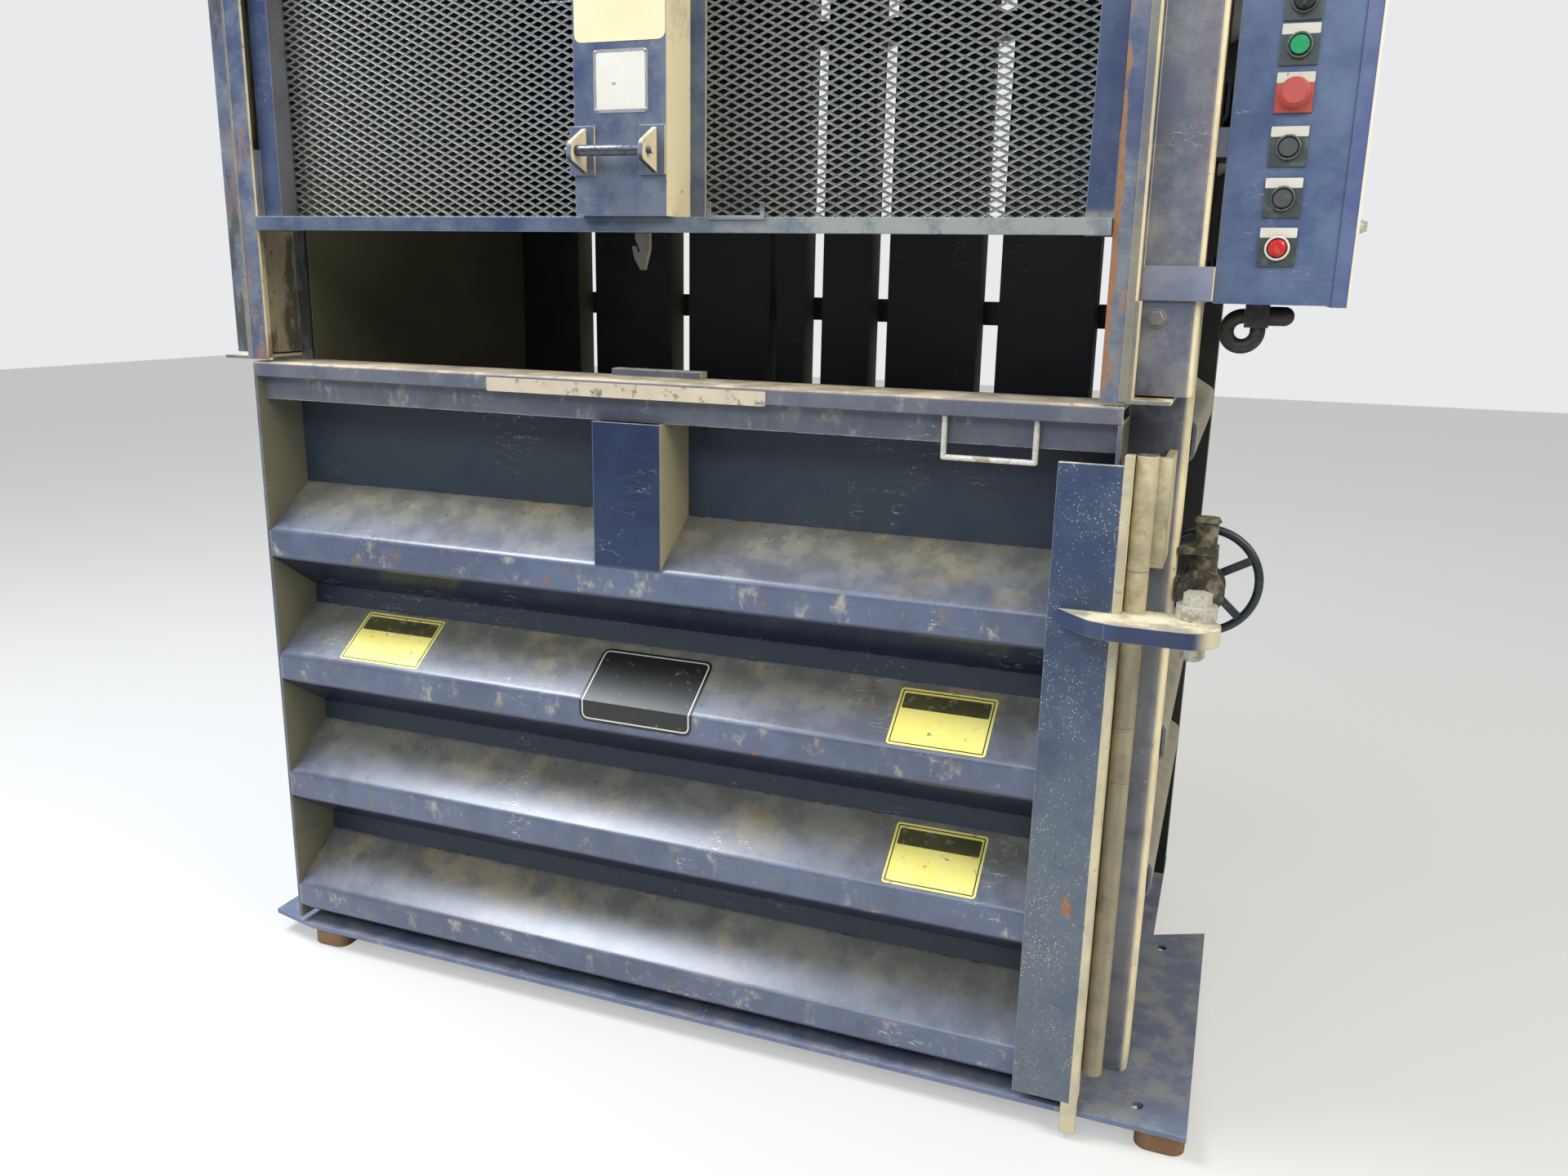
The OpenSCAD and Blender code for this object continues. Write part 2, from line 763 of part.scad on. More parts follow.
module handwheel() {
    rim = 7;
    hub_r = 22;
    color("#27313a") place() translate([bolt_x, wheel_y, screw_z]) rotate([-90, 0, 0]) difference() {
        union() {
            translate([0, 0, 12]) rotate_extrude($fn = 96) translate([wheel_r, 0]) circle(r = rim, $fn = 24);
            cylinder(r = hub_r, h = 34);
            for (i = [0:spokes - 1]) rotate([0, 0, i * 360 / spokes + 43])
                translate([0, -6, 7]) cube([wheel_r, 12, 10]);
        }
        translate([0, 0, -1]) cylinder(r = screw_r + 0.05, h = 36);
    }
}

// Safety gate

module gate_frame() {
    shoe = 120;
    wall = 3;
    color("#323f6b") place() union() {
        both_sides() {
            difference() {
                block([gate_x - stile_w, gate_y, gate_z], [gate_x, mesh_y, gate_top]);
                block([gate_x - stile_w + wall, gate_y + wall, gate_z + rail_t],
                    [gate_x - wall, mesh_y - wall, gate_top - rail_t]);
            }
            for (z = [gate_z + 20, gate_top - shoe - 20])
                block([gate_x, track_t + gap, z],
                    [door_x + 3 - track_t - gap, jamb_y - track_t - gap, z + shoe]);
        }
        block([-gate_x, -5, gate_z], [gate_x, 0, gate_z + rail_t]);
        block([-gate_x, -5, gate_z + rail_t - 5], [gate_x, mesh_y, gate_z + rail_t]);
        block([-gate_x, gate_y, gate_top - rail_t], [gate_x, mesh_y, gate_top]);
        block([hook_x - 20, 20, gate_z + 3], [hook_x + 20, hook_y - gap, gate_z + rail_t - 5]);
        translate([hook_x, hook_y - 1, hook_pin_z]) rotate([-90, 0, 0]) {
            cylinder(r = hook_pin_r, h = hook_t + 3);
            translate([0, 0, hook_t + 1 + gap]) cylinder(r = 9, h = 2.5);
        }
    }
}

// Expanded metal: diamonds cut through a sheet, in rows that step by half
module mesh_panel(x0, x1, z0, z1) {
    px = (x1 - x0) / mesh_cols;
    pz = (z1 - z0) / mesh_rows;
    strand = 9;
    a = px / 2 - strand;
    b = pz / 2 - strand / 2;
    difference() {
        block([x0, mesh_y, z0], [x1, mesh_y + mesh_t, z1]);
        along_y(mesh_y - 1, mesh_y + mesh_t + 1)
            for (j = [0:mesh_rows - 1], i = [0:mesh_cols - (j % 2 == 0 ? 1 : 2)])
                translate([x0 + px * (i + (j % 2 == 0 ? 0.5 : 1)), z0 + pz * (j + 0.5)])
                    polygon([[-a, 0], [0, -b], [a, 0], [0, b]]);
    }
}

module gate_mesh() {
    inner = post_w / 2 + 27;
    color("#1d2433") place() both_sides()
        mesh_panel(inner, gate_x, gate_z + rail_t + gap, gate_top);
}

// Folded channel with flanges that the mesh is welded to
module gate_post() {
    t = 5;
    flange = 27;
    low = gate_z + rail_t;
    color("#303d69") place() difference() {
        union() {
            block([-post_w / 2, post_front, low], [post_w / 2, mesh_y + mesh_t, gate_top]);
            block([-post_w / 2 - flange, mesh_y, low], [post_w / 2 + flange, mesh_y + mesh_t, gate_top]);
        }
        block([-post_w / 2 + t, post_front + t, low + t],
            [post_w / 2 - t, mesh_y + mesh_t + 1, gate_top + 1]);
        block([-post_w, -6, gate_top - rail_t - gap], [post_w, mesh_y + mesh_t + 1, gate_top + 1]);
    }
}

module gate_handle() {
    bar_r = 6;
    bar_z = gate_z + 120;
    bar_y = post_front - 42;
    color("#b3ae9c") place() union() {
        for (s = [-1, 1]) {
            translate([s * 62, 0, bar_z]) along_x(-4, 4) polygon(rounded([[post_front, -32],
                [post_front, 38], [bar_y - 8, 12], [bar_y - 12, -14]], [0, 0, 12, 10]));
            block([s * 62 - 26, post_front - 4, bar_z - 34], [s * 62 + 18, post_front, bar_z + 40]);
        }
        run_through([[-76, bar_y + 6, bar_z], [76, bar_y + 6, bar_z]], bar_r);
    }
}

module gate_plates() {
    color("#d9dad2") place() {
        block([-58, post_front - 1, gate_z + 283], [58, post_front, gate_z + 366]);
        block([-45, post_front - 1.5, gate_z + 179], [50, post_front, gate_z + 272]);
    }
}

module gate_clip() {
    color("#323f6b") place() union() {
        block([142, -9, gate_z + rail_t - 4], [238, -5, gate_z + rail_t + 2]);
        for (x = [142, 232]) block([x, -9, gate_z + rail_t - 4], [x + 6, -5, gate_z + rail_t + 22]);
    }
}

// Flat hook that swings on a pin behind the bottom rail
module gate_hook() {
    drop = 66;
    color("#9d9a88") place() difference() {
        union() {
            translate([hook_x, 0, hook_pin_z]) along_y(hook_y, hook_y + hook_t) polygon([[-12, 0],
                [-12, -14], [-2, -34], [-8, -38], [-12, -26], [-18, -26], [-14, -drop + 20], [-2, -drop],
                [5, -drop], [15, -30], [15, 0]]);
            translate([hook_x, hook_y, hook_pin_z]) rotate([-90, 0, 0]) cylinder(r = 13, h = hook_t);
        }
        translate([hook_x, hook_y - 1, hook_pin_z]) rotate([-90, 0, 0])
            cylinder(r = hook_pin_r + 0.05, h = hook_t + 2);
    }
}

// Press

module platen() {
    side = 12;
    plate = 25;
    x = half_w - side;
    y0 = hook_y + 16;
    y1 = back_y - side;
    ribs = 7;
    cap_r = 130;
    color("#2b3657") place() difference() {
        union() {
            block([-x, y0, platen_z], [x, y1, platen_z + plate]);
            for (i = [0:ribs - 1]) let (rx = -x + 10 + i * (2 * x - 32) / (ribs - 1))
                block([rx, y0 + 20, platen_z + plate], [rx + 12, y1 - 20, platen_z + 180]);
            for (y = [y0, mid_y - 100, mid_y + 88, y1 - 12])
                block([-x, y, platen_z + plate], [x, y + 12, platen_z + 200]);
            block([-x, y0, platen_z + 200], [x, y1, platen_z + 212]);
            translate([0, mid_y, platen_z + 212]) cylinder(r = cap_r, h = platen_h - 212);
        }
        translate([0, mid_y, platen_z + 212]) cylinder(r = rod_r + 0.05, h = platen_h);
    }
}

module piston_rod() {
    rod_z = platen_z + 212;
    piston_z = barrel_top - head_t - 90;
    color("#b9bdc2") place() translate([0, mid_y, 0]) {
        translate([0, 0, rod_z]) cylinder(r = rod_r, h = piston_z - rod_z + 1);
        translate([0, 0, piston_z]) cylinder(r = bore_r - 0.05, h = 70);
    }
}

// Controls

cover_x = box_x + box_w + gap;
hinge_y = box_y + box_d + 9;
hinge_r = 6;
hinge_pin_r = 2.5;
knuckle_h = 20;

// Height of each cover hinge's lowest knuckle
hinge_zs = [box_z + 80, box_z + box_h - 140];

module control_box() {
    color("#27356a") place() union() {
        box_shell();
        for (z = hinge_zs) {
            for (k = [0, 2]) translate([0, 0, z + k * knuckle_h]) {
                translate([cover_x, hinge_y, gap]) cylinder(r = hinge_r, h = knuckle_h - 2 * gap);
                block([cover_x - 34, box_y + box_d - 1, gap],
                    [cover_x, box_y + box_d + 5, knuckle_h - 2 * gap]);
            }
            translate([cover_x, hinge_y, z]) cylinder(r = hinge_pin_r, h = 3 * knuckle_h);
        }
    }
}

module box_shell() {
    difference() {
        block([box_x, box_y, box_z], [box_x + box_w, box_y + box_d, box_z + box_h]);
        block([box_x + box_t, box_y + box_t, box_z + box_t],
            [box_x + box_w + 1, box_y + box_d - box_t, box_z + box_h - box_t]);
        for (z = button_zs) translate([button_x, box_y - 1, z]) rotate([-90, 0, 0])
            cylinder(r = 11, h = box_t + 2);
    }
}

module control_cover() {
    lap = 2;
    color("#d6d3c8") place() difference() {
        union() {
            block([cover_x, box_y - lap, box_z - lap],
                [cover_x + cover_t, box_y + box_d + lap, box_z + box_h + lap]);
            for (z = hinge_zs) translate([0, 0, z + knuckle_h]) {
                translate([cover_x, hinge_y, gap]) cylinder(r = hinge_r, h = knuckle_h - 2 * gap);
                block([cover_x, box_y + box_d, gap],
                    [cover_x + 16, box_y + box_d + 6, knuckle_h - 2 * gap]);
            }
        }
        block([cover_x - 1, box_y + box_t, box_z + box_t],
            [cover_x + cover_t - 2, box_y + box_d - box_t, box_z + box_h - box_t]);
        for (z = hinge_zs) translate([cover_x, hinge_y, z])
            cylinder(r = hinge_pin_r + 0.05, h = 3 * knuckle_h);
    }
}

knob_y = box_y + 42;
knob_z = box_z + 110;

// Quarter-turn knob on the cover's outer face
module cover_knob() {
    color("#b9bab4") place() translate([cover_x + cover_t + gap, knob_y, knob_z]) rotate([0, 90, 0]) union() {
        cylinder(r = 9, h = 7);
        translate([-7, -2, 6]) cube([14, 4, knob_out - gap - 6]);
    }
}

module box_strap() {
    strap_z = 1372;
    strap_h = 48;
    t = 6;
    color("#8d8f98") place() {
        block([jamb_x + 3, jamb_y - t, strap_z], [box_x, jamb_y, strap_z + strap_h]);
        block([box_x - t, jamb_y - t, strap_z], [box_x, box_y + 90, strap_z + strap_h]);
        for (z = [strap_z + 200, strap_z + 480])
            block([post_x, box_y + 10, z], [box_x, column_back, z + 40]);
    }
}

module button_plates() {
    s = plate_s / 2;
    color("#4a4d50") place() for (z = button_zs) union() {
        difference() {
            block([button_x - s, box_y - plate_d, z - s], [button_x + s, box_y, z + s + 2]);
            translate([button_x, box_y - plate_d - 1, z]) rotate([-90, 0, 0])
                cylinder(r = 11, h = plate_d + 2);
        }
        difference() {
            translate([button_x, box_y - plate_d, z]) rotate([90, 0, 0]) cylinder(r = 17, h = 5);
            translate([button_x, box_y - plate_d + 1, z]) rotate([90, 0, 0]) cylinder(r = 14, h = 7);
        }
    }
}

// Round push button on a stem that passes through the plate
module push_button(z, r, out) {
    translate([button_x, box_y, z]) rotate([90, 0, 0]) {
        translate([0, 0, -14]) cylinder(r = 11 - gap, h = 26);
        translate([0, 0, 10]) cylinder(r = r, h = out);
    }
}

module key_selector() {
    color("#2c2e30") place() union() {
        push_button(button_zs[0], 13, 9);
        translate([button_x - 2.5, box_y - 33, button_zs[0] - 12]) cube([5, 15, 24]);
    }
}

module start_button() {
    color("#1f8a4c") place() push_button(button_zs[1], 12, 3);
}

module stop_button() {
    color("#c22a2a") place() union() {
        push_button(button_zs[2], 13, 6);
        translate([button_x, box_y - 14, button_zs[2]]) rotate([90, 0, 0]) cylinder(r1 = 14, r2 = 20, h = 6);
        translate([button_x, box_y - 20, button_zs[2]]) rotate([90, 0, 0]) cylinder(r1 = 20, r2 = 15, h = 7);
    }
}

module up_button() {
    color("#26282a") place() push_button(button_zs[3], 12, 3);
}

module down_button() {
    color("#26282a") place() push_button(button_zs[4], 12, 3);
}

module pilot_lamp() {
    color("#d23b34") place() union() {
        push_button(button_zs[5], 12, 3);
        translate([button_x, box_y - 13, button_zs[5]]) rotate([90, 0, 0]) cylinder(r1 = 12, r2 = 8, h = 4);
    }
}

hub_x = box_x + 62;
hub_y = box_y + 60;
hub_z = box_z - 34;
tube_r = 11;
loop_r = 22;
loop_x = hub_x - 18;
loop_z = box_z - 40;

// Square fitting under the box, with a short elbow out of its side
module conduit_fittings() {
    elbow_r = 14;
    color("#1c1e20") place() {
        block([hub_x - 16, hub_y - 17, hub_z], [hub_x + 18, hub_y + 17, box_z]);
        translate([hub_x + 17, hub_y, box_z - 17]) {
            rotate([0, 90, 0]) cylinder(r = elbow_r, h = 22);
            translate([22, 0, 0]) sphere(r = elbow_r, $fn = 36);
        }
    }
}

// Thick tube that leaves the fitting sideways and loops round to enter it from below
module conduit() {
    color("#191b1d") place() {
        translate([loop_x, hub_y, loop_z]) rotate([90, 0, 0]) rotate([0, 0, 90])
            rotate_extrude(angle = 270, $fn = 72) translate([loop_r, 0]) circle(r = tube_r, $fn = 36);
        translate([loop_x, hub_y, loop_z + loop_r]) rotate([0, 90, 0])
            cylinder(r = tube_r, h = hub_x - 16 - gap - loop_x, $fn = 36);
        translate([loop_x + loop_r, hub_y, loop_z]) cylinder(r = tube_r, h = hub_z - gap - loop_z, $fn = 36);
    }
}

base_plate();
foot_pads();
left_post();
right_post();
rear_posts();
side_walls();
wall_ribs();
back_slats();
chamber_floor();
gate_tracks();
track_brackets();
feed_header();
crosshead();
cylinder_barrel();
cylinder_gland();
oil_tank();
electric_motor();
pump();
valve_block();
hydraulic_lines();
hinge_pins();
frame_knuckles();
door_sheet();
door_end_plates();
door_ribs();
door_rail();
door_stiffener();
strike_plate();
pull_handle();
door_knuckles();
latch_plate();
latch_flange();
latch_knuckles();
lever_arm();
pivot_bolt();
clamp_screw();
screw_barrel();
handwheel();
gate_frame();
gate_mesh();
gate_post();
gate_handle();
gate_plates();
gate_clip();
gate_hook();
platen();
piston_rod();
control_box();
control_cover();
cover_knob();
box_strap();
button_plates();
key_selector();
start_button();
stop_button();
up_button();
down_button();
pilot_lamp();
conduit_fittings();
conduit();
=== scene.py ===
import math

import bpy
from mathutils import Matrix, Vector


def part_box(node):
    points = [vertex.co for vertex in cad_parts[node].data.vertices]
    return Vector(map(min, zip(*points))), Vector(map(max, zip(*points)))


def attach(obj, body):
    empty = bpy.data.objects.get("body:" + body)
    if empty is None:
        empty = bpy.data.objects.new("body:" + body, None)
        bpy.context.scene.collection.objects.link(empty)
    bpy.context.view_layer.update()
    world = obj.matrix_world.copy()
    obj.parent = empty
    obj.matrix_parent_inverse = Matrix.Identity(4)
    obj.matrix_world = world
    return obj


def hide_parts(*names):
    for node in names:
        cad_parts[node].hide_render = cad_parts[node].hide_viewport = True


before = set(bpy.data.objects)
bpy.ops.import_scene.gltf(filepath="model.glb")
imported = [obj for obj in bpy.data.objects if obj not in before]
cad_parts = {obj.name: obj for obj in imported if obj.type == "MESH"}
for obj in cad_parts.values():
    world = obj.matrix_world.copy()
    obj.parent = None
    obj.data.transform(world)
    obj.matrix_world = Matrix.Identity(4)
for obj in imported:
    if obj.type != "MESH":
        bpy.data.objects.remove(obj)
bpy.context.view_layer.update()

# Setting out
# The baler is measured as a fitter would: in millimetres from the middle of the bale door,
# the front of its ribs and the floor. The frame gives that corner once and for all.
MM = 0.001
sheet_lo, sheet_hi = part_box("door_sheet")
door_middle = (sheet_lo.x + sheet_hi.x) / 2
rib_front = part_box("door_ribs")[0].y


def at(x, y, z):
    return Vector((door_middle + x * MM, rib_front + y * MM, z * MM))


# Camera
# A wide lens held at shoulder height, to the right of the door and tilted down. Its turn,
# tilt and lean, in radians, were solved from the door's edges.
turn, tilt, lean = 0.357258, 0.246798, 0.019929
lens_px, frame_px = 1499.66, 1920
far_m = 60
eye = at(968.1, -1842.2, 1391.0)
ahead = Vector((-math.sin(turn), math.cos(turn), 0))
right = Vector((math.cos(turn), math.sin(turn), 0))
up = Vector((0, 0, 1))
look = ahead * math.cos(tilt) - up * math.sin(tilt)
crown = ahead * math.sin(tilt) + up * math.cos(tilt)
side_axis = right * math.cos(lean) + crown * math.sin(lean)
crown_axis = crown * math.cos(lean) - right * math.sin(lean)
bpy.ops.object.camera_add()
camera = bpy.context.object
camera.data.lens = camera.data.sensor_width * lens_px / frame_px
camera.data.clip_end = far_m
axes = Matrix((side_axis, crown_axis, -look)).transposed().to_4x4()
camera.matrix_world = Matrix.Translation(eye) @ axes
bpy.context.scene.camera = camera

# Floor and light
# A pale seamless floor in a lit shop: a strong ceiling lamp to the left of the machine that
# gives the ribs their sheen, softer ones in front and towards the handwheel side, and a pale
# sky that fills the shadows. The floor glows a little to the camera, so it stays even to its
# far end.
TIMES = {"operation": "MULTIPLY"}
PLUS = {"operation": "ADD"}


def ink(code):
    # An sRGB hex colour as the linear one that the shaders mix
    channels = [int(code[i:i + 2], 16) / 255 for i in (1, 3, 5)]
    return tuple(c / 12.92 if c <= 0.04045 else ((c + 0.055) / 1.055) ** 2.4
                 for c in channels) + (1,)


def put(tree, kind, feeds=(), **settings):
    # Adds one node and gives back its outputs. feeds holds a number, a colour or another
    # node's output for each input, in a row or by name.
    made = tree.nodes.new("ShaderNode" + kind)
    for key, value in settings.items():
        setattr(made, key, value)
    for key, value in feeds.items() if isinstance(feeds, dict) else enumerate(feeds):
        if isinstance(value, bpy.types.NodeSocket):
            tree.links.new(value, made.inputs[key])
        else:
            made.inputs[key].default_value = value
    return made.outputs


def blank(name):
    # A new material with nothing in it yet
    material = bpy.data.materials.new(name)
    material.use_nodes = True
    material.node_tree.nodes.clear()
    return material, material.node_tree


# Sealed concrete, nearly matt, so that the machine's reflection in it is only a soft shade
floor_m, glow_share = 30, 0.55
bpy.ops.mesh.primitive_plane_add(size=floor_m, location=(0, 0, 0))
floor = bpy.context.object
floor.name = "floor"
concrete, tree = blank("sealed_concrete")
sealed = put(tree, "BsdfPrincipled", {
    "Base Color": ink("#d9d8d4"), "Roughness": 0.75, "Specular IOR Level": 0.2})
glow = put(tree, "Emission", {"Color": ink("#e6e6e4"), "Strength": 1.0})
to_camera = put(tree, "LightPath")["Is Camera Ray"]
share = put(tree, "Math", (to_camera, glow_share), **TIMES)[0]
mixed = put(tree, "MixShader", (share, sealed[0], glow[0]))
put(tree, "OutputMaterial", {"Surface": mixed[0]})
floor.data.materials.append(concrete)

world = bpy.data.worlds.new("shop_light")
bpy.context.scene.world = world
world.use_nodes = True
tree = world.node_tree
tree.nodes.clear()
path = put(tree, "LightPath")
seen = put(tree, "Math", (path["Is Camera Ray"], path["Is Transmission Ray"]), **PLUS)[0]
fill = put(tree, "Background", {"Color": ink("#eef1f5"), "Strength": 0.42})
backdrop = put(tree, "Background", {"Color": ink("#e9eaec"), "Strength": 1.0})
mixed = put(tree, "MixShader", (seen, fill[0], backdrop[0]))
put(tree, "OutputWorld", {"Surface": mixed[0]})

for name, place, target, size_m, watts, tint in (
        ("sheen_lamp", at(-2350, -750, 4600), at(-100, 100, 600), (2.6, 1.6), 380, "#eef4ff"),
        ("front_lamp", at(-200, -3700, 3700), at(0, 0, 700), (3.6, 1.4), 110, "#e6efff"),
        ("side_lamp", at(3300, -900, 3300), at(800, 200, 900), (2.2, 2.2), 110, "#fff3dd")):
    bpy.ops.object.light_add(type="AREA", location=place)
    lamp = bpy.context.object
    lamp.name = name
    lamp.data.shape = "RECTANGLE"
    lamp.data.size, lamp.data.size_y = size_m
    lamp.data.energy = watts
    lamp.data.color = ink(tint)[:3]
    lamp.rotation_euler = (target - place).to_track_quat("-Z", "Y").to_euler()
bpy.context.scene.view_settings.view_transform = "Standard"

# Worn enamel
# Brushed machinery enamel over steel, years old: faded in clouds, scuffed along each bend,
# flecked with rust, and lying under cardboard dust on whatever faces up or towards the
# handwheel side, where the cream is dust and painted light together. Undersides are painted
# dark as shade. The dust settles by the way a face points, so it is read from the normal.
TINT = {"data_type": "RGBA"}
SMOOTH = {"interpolation_type": "SMOOTHSTEP"}


def marks(tree, place, size_mm, detail, rough, low, high, most=1.0, stretch=None):
    # Ragged patches: a cloud pattern, drawn out along the axes that stretch makes small, and
    # cut off between two levels
    if stretch:
        place = put(tree, "Mapping", {"Vector": place, "Scale": stretch})[0]
    cloud = put(tree, "TexNoise", {"Vector": place, "Scale": 1 / (size_mm * MM),
                                   "Detail": detail, "Roughness": rough})["Fac"]
    return put(tree, "MapRange", (cloud, low, high, 0, most), **SMOOTH)[0]


def lay(tree, coat, where, by, dark, pale):
    # One more layer on the coat, its colour drifting between dark and pale
    tone = put(tree, "Mix", {0: by, 6: ink(dark), 7: ink(pale)}, **TINT)[2]
    return put(tree, "Mix", {0: where, 6: coat, 7: tone}, **TINT)[2]


def worn_enamel(name, paint, faded, film, dust_dark, dust, up=0.5, side=0.95, haze=0.3,
                patch=0.5, rust=0.5, scuffs=0.5, specks=0.0, gloss=0.38, dull=0.85,
                bend_mm=2.5, stains=0.0, bleed=0.0, scrapes=0.0, grime=0.0, drift=None,
                veil=None, brush=(1.0, 1.0, 5.0), scar=None):
    # film is the thin grey haze on every face. dust is what lies on the paint: up says how much
    # of it lies on faces that look up, and side how much dust and painted light lie on faces
    # towards the handwheel side. veil and drift say where on the machine film and dust are
    # heavier, and gloss and dull are the roughness of clean and of dusty paint. stains are ochre
    # patches that water left on what faces up, and bleed is rust that has run down what stands
    # upright. scrapes are the pale and brown smears that carts and bales leave on what juts out.
    # brush is the way the hairline scratches run, grime is black grease in blotches, and scar is
    # one bare patch that has rusted.
    material, tree = blank(name)
    spot = put(tree, "TexCoord")
    place = spot["Object"]
    way = put(tree, "SeparateXYZ", (spot["Normal"],))
    broad, mottle, fine = [
        put(tree, "TexNoise", {"Vector": place, "Scale": 1 / (size_mm * MM), "Detail": detail,
                               "Roughness": rough})["Fac"]
        for size_mm, detail, rough in ((420, 3, 0.55), (60, 6, 0.62), (7, 5, 0.7))]

    # The paint fades in clouds, and a grey film lies over it. Undersides are painted shade: they
    # get less film and are darkened towards a near black navy.
    both = put(tree, "Math", (broad, mottle), **PLUS)[0]
    fading = put(tree, "MapRange", (both, 0.82, 1.22), **SMOOTH)[0]
    coat = put(tree, "Mix", {0: fading, 6: ink(paint), 7: ink(faded)}, **TINT)[2]
    out_of_painted_shade = put(tree, "MapRange", (way["Z"], -0.15, -0.55, 1, 0.15), **SMOOTH)[0]
    grain = put(tree, "Math", (fine, 0.35, both), operation="MULTIPLY_ADD")[0]
    cloud = put(tree, "MapRange", (grain, 0.9, 1.42, 1 - patch, 1 + 0.6 * patch), **SMOOTH)[0]
    thin = put(tree, "Math", (cloud, out_of_painted_shade), **TIMES)[0]
    thin = put(tree, "Math", (thin, haze), **TIMES)[0]
    if veil:
        thin = put(tree, "Math", (thin, veil(tree, place)), **TIMES)[0]
    coat = put(tree, "Mix", {0: thin, 6: coat, 7: ink(film)}, **TINT)[2]
    # Painted shade: faces that look down are darkened towards a near black navy
    coat = put(tree, "Mix", {0: out_of_painted_shade, 6: ink("#0b1424"), 7: coat}, **TINT)[2]

    # Dust settles on what faces up. What faces the handwheel side is made cream with dust and
    # painted light together, in clouds
    facing_up = put(tree, "MapRange", (way["Z"], 0.15, 0.8, 0, up), **SMOOTH)[0]
    if drift:
        facing_up = put(tree, "Math", (facing_up, drift(tree, place)), **TIMES)[0]
    facing_side = put(tree, "MapRange", (way["X"], 0.3, 0.8, 0, side), **SMOOTH)[0]
    lying = put(tree, "Math", (facing_up, cloud), **TIMES)[0]
    side_dust_and_painted_light = put(tree, "MapRange", (cloud, 0.2, 0.9, 0.75, 1.0), **SMOOTH)[0]
    side_dust_and_painted_light = put(tree, "Math", (facing_side, side_dust_and_painted_light), **TIMES)[0]
    dust_with_side_light = put(tree, "Math", (lying, side_dust_and_painted_light), operation="MAXIMUM")[0]
    # Painted light: the cream turns paler on faces towards the handwheel side
    pale = put(tree, "Math", (mottle, facing_side), **PLUS)[0]
    pale = put(tree, "MapRange", (pale, 0.42, 0.6), **SMOOTH)[0]
    coat = lay(tree, coat, dust_with_side_light, pale, dust_dark, dust)
    if stains:
        pool = marks(tree, place, 130, 6, 0.62, 0.54, 0.64, stains)
        pool = put(tree, "Math", (pool, facing_up), **TIMES)[0]
        coat = lay(tree, coat, pool, mottle, "#6b5f45", "#b0a07b")
    if bleed:
        run = marks(tree, place, 75, 7, 0.66, 0.53, 0.60, bleed, (1.0, 1.0, 0.28))
        coat = lay(tree, coat, run, fine, "#6b4226", "#a87a55")
    if scrapes:
        smear = marks(tree, place, 30, 8, 0.7, 0.53, 0.68, scrapes, (0.8, 1.0, 0.5))
        for flat, upright in ((0.5, 0.1), (-0.3, -0.05)):
            shown = put(tree, "MapRange", (way["Z"], flat, upright), **SMOOTH)[0]
            smear = put(tree, "Math", (smear, shown), **TIMES)[0]
        tone = marks(tree, place, 90, 3, 0.55, 0.44, 0.56)
        coat = lay(tree, coat, smear, tone, "#6f6048", "#a39d8b")
    if grime:
        grease = marks(tree, place, 70, 6, 0.66, 0.49, 0.58, grime, (1.0, 1.0, 0.4))
        coat = lay(tree, coat, grease, fine, "#1c1d19", "#4a4534")
    # Where a crumb of the dust was knocked off, the paint shows again
    knocked = marks(tree, place, 14, 4, 0.6, 0.665, 0.70, 0.5)
    dusty = put(tree, "Math", (dust_with_side_light, thin), **PLUS)[0]
    knocked = put(tree, "Math", (knocked, dusty), **TIMES)[0]
    coat = put(tree, "Mix", {0: knocked, 6: coat, 7: ink(paint)}, **TINT)[2]

    # Bends rub bright and then rust: the angle between the bevelled and the true normal
    # finds them
    eased = put(tree, "Bevel", {"Radius": bend_mm * MM}, samples=6)[0]
    true = put(tree, "NewGeometry")["Normal"]
    match = put(tree, "VectorMath", (eased, true), operation="DOT_PRODUCT")["Value"]
    edge = put(tree, "MapRange", (match, 0.995, 0.86), **SMOOTH)[0]
    rubbed = put(tree, "Math", (mottle, fine), **PLUS)[0]
    rubbed = put(tree, "Math", (edge, rubbed), **TIMES)[0]
    rubbed = put(tree, "MapRange", (rubbed, 0.42, 0.75, 0, scuffs), **SMOOTH)[0]
    coat = put(tree, "Mix", {0: rubbed, 6: coat, 7: ink("#a3a49c")}, **TINT)[2]
    pits = put(tree, "TexNoise", {"Vector": place, "Scale": 1 / (34 * MM), "Detail": 8,
                                  "Roughness": 0.68})["Fac"]
    pits = put(tree, "Math", (edge, 0.1, pits), operation="MULTIPLY_ADD")[0]
    pits = put(tree, "MapRange", (pits, 0.71 - 0.06 * rust, 0.76 - 0.06 * rust, 0,
                                  min(1.0, rust + 0.2)), **SMOOTH)[0]
    coat = lay(tree, coat, pits, fine, "#5a3722", "#a06a40")

